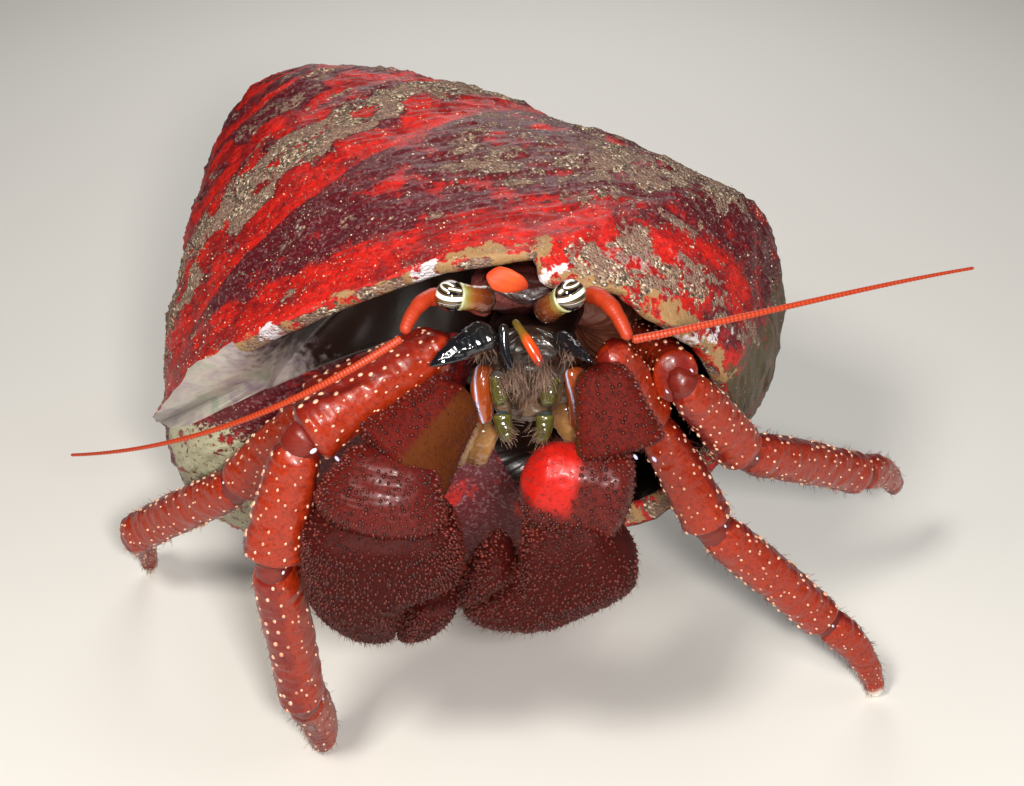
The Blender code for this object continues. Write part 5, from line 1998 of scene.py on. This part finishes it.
@dataclass(frozen=True)
class Eye:
    """A stalked eye: a striped cornea on a stalk with a pale ring.

    The stripes are strokes on the front of the cornea, in eye radii to its left and up.
    """

    side: str
    foot: Point
    centre: Point
    strokes: tuple[tuple[float, tuple[Pair, ...]], ...]   # half width, curve
    radius: float = 1.32
    stalk_half: float = 1.12
    flattening: float = 0.08           # share of the radius lost along the stalk
    sunk: float = 0.42                 # how far the stalk reaches into the cornea, in radii

    def stripe(self, normals: Array) -> Array:
        """How far inside a stroke each direction is: 0.5 on its edge, more inside, less outside.

        Args:
            normals: Outward directions.

        Returns:
            One value for each direction.
        """
        spot = np.stack([normals @ LEFT, normals @ FACE_UP], axis=-1)
        best = np.full(len(normals), -1.0)
        for half, curve in self.strokes:
            path = bezier([(*point, 0.0) for point in curve], np.linspace(0.0, 1.0, 40))[:, :2]
            best = np.maximum(best, half - np.linalg.norm(spot[:, None] - path[None], axis=-1).min(axis=1))
        return np.clip(0.5 + best * STRIPE_SLOPE, 0.0, 1.0)

    def build(self, rows: int = 90, columns: int = 120) -> None:
        """Build the cornea, a ball flattened along its stalk, and the stalk.

        Args:
            rows: Rows of points from the cornea's front to its back.
            columns: Points round it.
        """
        foot, centre = np.array(self.foot), np.array(self.centre)
        reach = unit(centre - foot)
        tilt, turn = np.meshgrid(np.pi * (np.arange(rows) + 0.5) / rows, TAU * np.arange(columns) / columns,
                                 indexing="ij")
        side = unit(np.cross(reach, UP))
        over = np.cross(side, reach)
        ring = (reach * np.cos(tilt)[..., None] + side * (np.sin(tilt) * np.cos(turn))[..., None]
                + over * (np.sin(tilt) * np.sin(turn))[..., None]).reshape(-1, 3)
        normals = np.concatenate([ring, [reach, -reach]])
        shape = normals - reach * self.flattening * (normals @ reach)[:, None]
        cornea = Patch(centre + shape * self.radius, *ring_faces(rows, columns),
                       {"stripe": self.stripe(normals)})
        make_piece(f"eye_{self.side}_cornea", [cornea], [CORNEA], "eye", [f"eye_{self.side}"])
        end = centre - reach * self.radius * self.sunk
        Part(f"eyestalk_{self.side}", "eyestalk", STALK,
             (foot, (foot + end) / 2.0 + np.array((0.0, 0.0, 0.12)), end), (self.stalk_half, self.stalk_half),
             ((0.0, 0.86), (0.25, 1.04), (0.5, 0.96), (0.8, 0.98), (0.95, 1.05), (1.0, 1.0)), 1.0,
             cuticle_relief(4.0, 1.1, 1.0, 0.05), UP, (0.5, 0.25), grid=(70, 60)).build()


EYES = (
    Eye("right", (-1.5, -42.7, 53.7), (-5.1, -43.9, 54.9),
        ((0.155, ((-1.0, 0.3), (-0.75, -0.22), (-0.1, -0.36), (0.9, -0.24))),
         (0.085, ((-0.06, 0.4), (0.3, 0.33), (0.72, 0.27))),
         (0.085, ((-0.2, 0.27), (-0.95, 0.6), (-0.6, 1.1), (0.2, 0.55))),
         (0.035, ((-0.8, -0.42), (-0.3, -0.66), (0.3, -0.7), (0.9, -0.5))))),
    Eye("left", (2.5, -42.9, 52.6), (4.8, -45.2, 55.7),
        ((0.155, ((-0.86, -0.4), (-0.2, -0.42), (0.55, -0.1), (0.92, 0.42))),
         (0.08, ((-0.4, 0.42), (0.1, 0.36), (0.75, 0.75), (0.5, 0.98))),
         (0.08, ((-0.4, 0.42), (-0.5, 0.6), (0.1, 1.12), (0.5, 0.98))),
         (0.12, ((-0.68, 0.12), (-0.6, 0.2), (-0.55, 0.24))),
         (0.035, ((-0.75, -0.62), (-0.2, -0.72), (0.4, -0.62), (0.9, -0.25))))),
)
PEDUNCLE = ((0.0, 0.9), (0.15, 1.0), (0.33, 1.05), (0.38, 0.9), (0.45, 1.0), (0.62, 1.05), (0.67, 0.88),
            (0.75, 1.0), (1.0, 0.85))
FLAGELLUM = ((0.0, 1.0), (0.5, 0.92), (1.0, 0.85))


def swell(shares: Array, rings: float) -> Array:
    """Rings along a feeler: each swells as a half sine and meets the next in a groove."""
    return np.abs(np.sin(np.pi * shares * rings))


@dataclass(frozen=True)
class Feeler:
    """An antenna: a jointed peduncle and a long flagellum of fine rings."""

    side: str
    peduncle: tuple[Point, ...]
    flagellum: tuple[Point, ...]
    halves: Pair
    rows_per_ring: int = 7
    most_rows: int = 1100

    def build(self) -> None:
        """Build both parts."""
        self.build_part("peduncle", self.peduncle, self.halves, PEDUNCLE, (0.3, 0.012), 32)
        self.build_part("flagellum", self.flagellum, (0.36, 0.16), FLAGELLUM, (0.4, 0.03), 14)

    def build_part(self, part: str, path: Rows, halves: Pair, profile: Rows, ring: Pair,
                   columns: int) -> None:
        """Build one part with its rings.

        Args:
            part: The part's name.
            path: Control points.
            halves: Half widths at both ends.
            profile: Knots of the half width.
            ring: Length and height of a ring.
            columns: Points round it.
        """
        curve = bezier(path, np.linspace(0.0, 1.0, 80))
        rings = float(np.linalg.norm(np.diff(curve, axis=0), axis=1).sum()) / ring[0]

        def relief(shares: Array, _: Array) -> Array:
            """The rings' height, about the smooth limb."""
            return ring[1] * (swell(shares, rings) - 0.5)

        def marks(shares: Array, _: Array) -> dict[str, Array]:
            """The ring mark: dark grooves on the flagellum, and one middle tone on the peduncle."""
            crests = 0.15 + 0.7 * smooth(swell(shares, rings), 0.1, 0.8)
            return {"ring": crests if part == "flagellum" else np.full(len(shares), 0.5)}

        tube = limb(path, *halves, profile, UP, 1.0, (0.8, 0.8), 2.0, relief, False)
        rows = min(int(rings * self.rows_per_ring), self.most_rows)
        name = f"antenna_{part}_{self.side}"
        make_piece(f"{name}_skin", [tube.patch(rows, columns, marks, even=True)], [FEELER], "antenna", [name])


FEELERS = (
    Feeler("right", ((-5.4, -41.7, 53.3), (-7.6, -43.3, 55.4), (-8.9, -46.4, 52.7)),
           ((-9.0, -46.7, 52.5), (-17.0, -51.0, 48.8), (-27.5, -45.5, 40.5), (-41.2, -33.0, 31.8)),
           (0.8, 0.56)),
    Feeler("left", ((6.4, -41.5, 53.6), (8.2, -43.6, 55.0), (9.6, -46.4, 52.1)),
           ((9.8, -46.7, 52.3), (19.0, -45.5, 53.6), (30.0, -39.5, 53.4), (40.7, -33.0, 51.6)), (0.82, 0.58)),
)


def scalloped(shares: Array, angles: Array) -> Array:
    """Relief of fine lengthwise folds round the rostral plate: a sine of nine times the angle."""
    return 0.012 * np.sin(angles * 9.0 + 3.0 * shares)


def jointed(shares: Array, _: Array) -> dict[str, Array]:
    """The joint mark of a mouth foot: one at both ends."""
    return {"joint": 1.0 - smooth(shares, 0.0, 0.3) + smooth(shares, 0.9, 1.0)}


BLADE_RELIEF, FOOT_RELIEF = cuticle_relief(4.0, 0.9, 0.5, 0.1), cuticle_relief(3.0, 0.7, 0.6, 0.05)
HEAD_PARTS = (
    Part("rostral_plate", "scale_plate", PLATE_ORANGE,
         ((-2.1, -43.5, 56.6), (-0.4, -43.9, 56.3), (1.3, -43.6, 55.5)), (1.12, 1.08),
         ((0.0, 0.55), (0.25, 0.9), (0.5, 1.0), (0.75, 0.9), (1.0, 0.55)), 0.32, scalloped),
    Part("acicle_right", "scale", SCALE_BLADE,
         ((-1.7, -43.2, 51.2), (-3.6, -44.9, 51.0), (-6.8, -46.4, 49.6)), (1.75, 1.0), BLADE, 0.75,
         BLADE_RELIEF),
    Part("acicle_left", "scale", SCALE_BLADE, ((3.9, -43.2, 50.6), (5.2, -45.6, 51.0), (6.5, -48.0, 51.0)),
         (1.1, 0.6), BLADE, 0.8, BLADE_RELIEF),
    Part("antennule_left", "antenna", CAPSULE, ((0.2, -43.7, 52.4), (1.1, -45.7, 52.1), (2.5, -47.1, 50.0)),
         (0.34, 0.5), ((0.0, 0.9), (0.35, 0.9), (0.45, 1.1), (0.8, 1.1), (1.0, 0.8)), 0.9),
    # The right antennule has the near-black scale finish as painted shade, for it stands back in shadow.
    Part("antennule_right", "mouthparts", SCALE_BLADE,
         ((-0.6, -43.5, 52.0), (-1.0, -44.7, 50.4), (0.1, -45.3, 48.5)), (0.5, 0.4)),
) + tuple(
    Part(f"mouth_foot_{end}", "mouthparts", OLIVE, path, halves, ROUND, 0.95, FOOT_RELIEF, power=2.2,
         grid=(50, 40), marks=jointed)
    for end, path, halves in (
        ("right_upper", ((-1.2, -43.8, 47.6), (-1.2, -44.4, 46.2), (-0.9, -44.7, 44.7)), (0.66, 0.74)),
        ("right_lower", ((-0.85, -44.9, 44.3), (-0.8, -45.6, 43.2), (-0.2, -46.1, 42.0)), (0.86, 0.62)),
        ("left_upper", ((3.5, -43.8, 47.5), (3.3, -44.4, 46.2), (2.9, -44.8, 44.7)), (0.66, 0.74)),
        ("left_lower", ((2.8, -45.0, 44.3), (2.9, -45.7, 43.2), (2.3, -46.2, 41.8)), (0.86, 0.62))))


@dataclass(frozen=True)
class Mouth:
    """The bed behind the mouth feet: folded plates, brown flaps, and grey-brown fans of setae."""

    bed: tuple[Point, ...] = ((1.45, -41.5, 50.6), (1.45, -41.9, 46.0), (1.45, -41.5, 41.2))
    flaps: tuple[tuple[tuple[Point, ...], float], ...] = (                 # path, half width
        (((-3.4, -42.6, 42.9), (-4.6, -43.3, 40.2), (-5.6, -43.6, 37.6)), 1.7),
        (((-1.6, -42.4, 42.2), (-2.6, -43.3, 40.0), (-3.3, -43.8, 37.9)), 1.2),
        (((4.0, -42.6, 43.4), (5.2, -43.4, 41.6), (6.0, -43.8, 39.6)), 1.3))
    fans: tuple[tuple[Point, Point, int, float, float], ...] = (           # root, way, setae, length, spread
        ((2.4, -47.0, 50.3), (0.15, -0.5, -0.86), 90, 2.6, 0.55),
        ((0.4, -45.3, 48.9), (0.1, -0.55, -0.83), 80, 2.3, 0.6),
        ((-1.0, -44.4, 47.4), (0.5, -0.6, -0.5), 70, 1.9, 0.7),
        ((3.3, -44.4, 47.4), (-0.5, -0.6, -0.5), 70, 1.9, 0.7),
        ((-0.6, -46.0, 43.0), (0.6, -0.5, -0.4), 50, 1.3, 0.7),
        ((2.4, -46.1, 43.0), (-0.6, -0.5, -0.4), 50, 1.3, 0.7),
        ((1.3, -43.6, 46.0), (0.0, -0.8, -0.3), 110, 1.8, 0.9),
        ((-2.6, -44.3, 50.4), (-0.2, -0.6, -0.7), 50, 1.6, 0.6),
        ((4.6, -45.4, 50.7), (0.1, -0.7, -0.7), 50, 1.5, 0.6))

    @staticmethod
    def lumps(shares: Array, angles: Array) -> Array:
        """Relief of the bed: noise on the unrolled tube."""
        spots = np.stack([shares * 9.0, 3.0 * np.cos(angles), 3.0 * np.sin(angles)], axis=-1)
        return 0.35 * Noise(91)(spots, 1.1, 3)

    @staticmethod
    def folds(shares: Array, angles: Array) -> dict[str, Array]:
        """Tone of the bed: dark above, and folds as a sine of seven times the angle below."""
        return {"along": smooth(shares, 0.3, 0.75) * (0.35 + 0.25 * np.sin(angles * 7.0 + 5.0 * shares))}

    def build(self) -> None:
        """Build the bed with its flaps, and the setae."""
        bed = limb(self.bed, 3.6, 3.2, ROUND, LEFT, 0.42, (0.5, 0.6), 2.2, self.lumps)
        patches = [bed.patch(90, 90, self.folds)]
        for path, half in self.flaps:
            flap = limb(path, half, half * 0.8, ROUND, LEFT, 0.3, (0.7, 0.9), 2.0,
                        cuticle_relief(5.0, 1.5, 1.2, 0.1))
            patches.append(flap.patch(50, 44, lengthwise, 1))
        make_piece("mouth_bed", patches, [MOUTH_BED, BROWN_FLAP], "mouthparts", ["mouthparts"])
        draw, coat = np.random.default_rng(71), Coat()
        for number, (root, way, count, length, spread) in enumerate(self.fans):
            ways = unit(np.array(way) + spread * 0.6 * draw.normal(size=(count, 3)))
            roots = np.array(root) + 0.4 * draw.normal(size=(count, 3))
            bends = np.array((0.0, 0.1, -0.2)) + 0.12 * draw.normal(size=(count, 3))
            lengths = length * draw.uniform(0.5, 1.0, count)
            spots = [(number + draw.uniform(0.1, 0.9, count)) / len(self.fans),
                     draw.uniform(0.05, 0.95, count)]
            coat.add(roots, ways, bends, lengths, 0.028, np.stack(spots, axis=-1))
        make_piece("mouth_hair", [coat.patch()], [MOUTH_HAIR], "mouthparts")


# ---- body ----------------------------------------------------------------------------------------
BODY_RELIEF = cuticle_relief(12.0, 5.0, 1.6, 0.12)
REAR_LEG = ((0.0, 0.8), (0.3, 1.0), (0.36, 0.85), (0.45, 1.0), (0.68, 1.0), (0.74, 0.84), (0.85, 0.98),
            (1.0, 0.7))
BODY_PARTS = tuple(
    Part(name, "exoskeleton", finish, path, halves, ROUND, flatness, BODY_RELIEF, caps=(0.5, 0.5), power=2.2,
         grid=(90, 90), marks=edged, suffix="plate")
    for name, path, halves, flatness, finish in (
        ("shield", ((1.0, -39.8, 51.6), (1.2, -36.0, 52.1), (1.5, -32.0, 50.8)), (4.9, 4.7), 0.4,
         SHIELD_SKIN),
        ("rear_carapace", ((1.7, -30.6, 50.3), (2.6, -26.5, 49.5), (3.9, -22.6, 47.4)), (4.7, 3.9), 0.42,
         TRUNK_SKIN),
        ("thorax", ((1.1, -40.6, 45.8), (1.4, -34.0, 46.6), (2.8, -27.5, 44.4), (3.8, -23.6, 43.0)),
         (4.0, 3.5), 0.72, TRUNK_SKIN))
) + tuple(
    Part(name, "exoskeleton", LEG_CHITIN, path, halves, REAR_LEG, 0.9, cuticle_relief(5.0, 0.9, 0.7, 0.04),
         UP, (0.7, 0.9), grid=(60, 36), marks=edged)
    for name, path, halves in (
        ("fourth_leg_right", ((-1.9, -26.2, 43.4), (-4.6, -25.2, 44.0), (-6.4, -22.4, 43.2)), (1.0, 0.8)),
        ("fourth_leg_left", ((9.8, -21.4, 43.9), (12.3, -20.2, 43.6), (13.4, -16.8, 41.6)), (1.0, 0.8)),
        ("fifth_leg_right", ((0.4, -21.9, 45.2), (-0.8, -20.4, 46.6), (-1.4, -18.2, 47.2)), (0.8, 0.6)),
        ("fifth_leg_left", ((8.8, -20.0, 47.2), (10.6, -18.8, 47.6), (11.4, -15.8, 46.4)), (0.8, 0.6))))


@dataclass(frozen=True)
class Abdomen:
    """The soft abdomen, one skin that follows the shell's own turns, and the tail plates at its end.

    Places are given in the shell's round frame: angle, distance from the axis, height up it.
    """

    shell: TopShell
    start: Point = (5.0, 20.0, 13.0)
    sweep: Point = (2.25, -4.5, 7.0)
    girth: Rows = ((0.0, 3.0), (0.1, 3.7), (0.33, 4.1), (0.6, 4.1), (0.8, 3.5), (1.0, 2.4))
    tail_angle: float = 7.33
    tail: tuple[tuple[str, float, float, float, float], ...] = (     # name, outwards, up, half width, length
        ("telson", 0.0, 0.0, 1.5, 2.6), ("uropod_left", -2.9, 0.6, 1.0, 3.0),
        ("uropod_right", 2.7, -0.4, 0.8, 2.2))

    def spot(self, turned: float | Array, radius: float | Array, height: float | Array) -> Array:
        """Places of angles, distances from the shell's axis and heights up it.

        Args:
            turned: Angles about the axis.
            radius: Distances from the axis.
            height: Heights up the axis.

        Returns:
            The points.
        """
        axis, across, over = self.shell.axes()
        turned, radius, height = (np.asarray(given, dtype=float)[..., None]
                                  for given in (turned, radius, height))
        return (np.array(self.shell.foot) + (across * np.cos(turned) + over * np.sin(turned)) * radius
                + axis * height)

    @staticmethod
    def wrinkles(shares: Array, angles: Array) -> Array:
        """Relief of soft skin: noise on the unrolled tube, plus fine rings as a sine along it."""
        spots = np.stack([shares * 36.0, 4.0 * np.cos(angles), 4.0 * np.sin(angles)], axis=-1)
        return 0.18 * Noise(17)(spots * np.array((2.2, 0.8, 0.8)), 2.2, 3) + 0.07 * np.sin(shares * 150.0)

    def build(self) -> None:
        """Build the skin and the tail plates."""
        share = np.linspace(0.0, 1.0, STATIONS)
        centres = self.spot(*(first + more * share for first, more in zip(self.start, self.sweep)))
        ahead = unit(np.gradient(centres, axis=0))
        across = unit(UP - ahead * ahead[:, 2:])
        half = eased(share, self.girth) * closing(np.minimum(share, 1.0 - share) / 0.05)
        belly = Tube(centres, across, np.cross(ahead, across), half, half, 2.0, self.wrinkles)
        make_piece("abdomen_skin", [belly.patch(260, 90, lengthwise)], [SOFT_SKIN], "abdomen",
                   ["abdomen_front", "abdomen_middle", "abdomen_rear"])
        radius, height = self.start[1] + self.sweep[1], self.start[2] + self.sweep[2]
        for name, outward, lift, half_width, length in self.tail:
            path = (self.spot(self.tail_angle, radius + outward, height + lift),
                    self.spot(self.tail_angle + length / radius, radius + outward * 1.25, height + lift))
            Part(name, "abdomen", TRUNK_SKIN, path, (half_width, half_width * 0.8), LENS, 0.7,
                 cuticle_relief(3.0, 1.0, 0.8, 0.06), UP, (0.6, 0.7), grid=(40, 36), marks=edged).build()


# ---- studio --------------------------------------------------------------------------------------
def aim(made: bpy.types.Object, spot: Point, target: Point) -> None:
    """Aim a light or a camera and add it to the scene.

    Args:
        made: The object.
        spot: Its place, in millimetres.
        target: What it looks at, in millimetres.
    """
    made.location = place(np.array(spot))
    way = Vector(place(np.array(target))) - made.location
    made.rotation_euler = way.to_track_quat("-Z", "Y").to_euler()
    bpy.context.scene.collection.objects.link(made)


@dataclass(frozen=True)
class Light:
    """A square soft light, aimed at the middle of the model. Places and size are millimetres."""

    name: str
    spot: Point
    size: float
    power: float                       # watts
    color: Point = (1.0, 1.0, 1.0)
    target: Point = (0.0, -20.0, 30.0)

    def build(self) -> None:
        """Add the light to the scene."""
        lamp = bpy.data.lights.new(self.name, "AREA")
        lamp.size, lamp.energy, lamp.color = self.size * MM, self.power, self.color
        aim(bpy.data.objects.new(self.name, lamp), self.spot, self.target)


@dataclass(frozen=True)
class Studio:
    """Pale floor, soft lights and the camera. Places are millimetres of the design frame."""

    camera: Point = (0.0, -187.4, 135.1)
    target: Point = (0.0, 0.0, 18.0)
    lens: float = 70.0
    sensor: float = 36.0
    clip_m: Pair = (0.005, 10.0)
    floor_half_m: float = 1.5
    sky: tuple[float, float, float, float] = (0.85, 0.88, 0.92, 1.0)
    sky_strength: float = 0.08
    lights: tuple[Light, ...] = (Light("key", (-70.0, -170.0, 210.0), 40.0, 0.48, (1.0, 0.96, 0.9)),
                                 Light("flash", (20.0, -210.0, 150.0), 22.0, 0.5, (1.0, 0.97, 0.93)),
                                 Light("fill", (200.0, -60.0, 140.0), 150.0, 0.07, (0.92, 0.96, 1.0)),
                                 Light("back", (0.0, 170.0, 150.0), 140.0, 0.2))

    def build(self) -> None:
        """Add the floor, the lights, the world and the camera."""
        half, floor = self.floor_half_m, bpy.data.meshes.new("floor")
        corners = [(-half, -half, 0.0), (half, -half, 0.0), (half, half, 0.0), (-half, half, 0.0)]
        floor.from_pydata(corners, [], [(0, 1, 2, 3)])
        floor.materials.append(StudioFloor("backdrop_paper").material())
        made = bpy.data.objects.new("floor", floor)
        bpy.context.scene.collection.objects.link(made)
        made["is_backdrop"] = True
        for light in self.lights:
            light.build()
        world = bpy.data.worlds.new("studio")
        world.use_nodes = True
        sky = world.node_tree.nodes["Background"]
        sky.inputs["Color"].default_value = self.sky
        sky.inputs["Strength"].default_value = self.sky_strength
        bpy.context.scene.world = world
        bpy.context.scene.view_settings.view_transform = "Standard"
        lens = bpy.data.cameras.new("camera")
        lens.lens, lens.sensor_width = self.lens, self.sensor
        lens.clip_start, lens.clip_end = self.clip_m
        camera = bpy.data.objects.new("camera", lens)
        aim(camera, self.camera, self.target)
        bpy.context.scene.camera = camera


def write_sizes() -> None:
    """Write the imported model's box and the dressed model's box, in metres, next to each other."""
    def plain(box: object) -> list[list[float]]:
        """A box as plain lists, to a hundredth of a millimetre."""
        return [[round(float(value), 5) for value in corner] for corner in box]

    sizes = {"cad": plain(CAD_BOX), "visual": plain(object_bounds())}
    log.info("sizes %s", sizes)


def main() -> None:
    """Build the dressed model and the studio."""
    logging.basicConfig(level=logging.INFO, format="%(message)s")
    shell = TopShell()
    shell.build()
    shell.apex()
    shell.grains()
    for thing in (*BODY_PARTS, Abdomen(shell), *EYES, *FEELERS, *HEAD_PARTS, Mouth(), *CLAWS, *LEGS,
                  Studio()):
        thing.build()
    write_sizes()


if __name__ == "__main__":
    main()
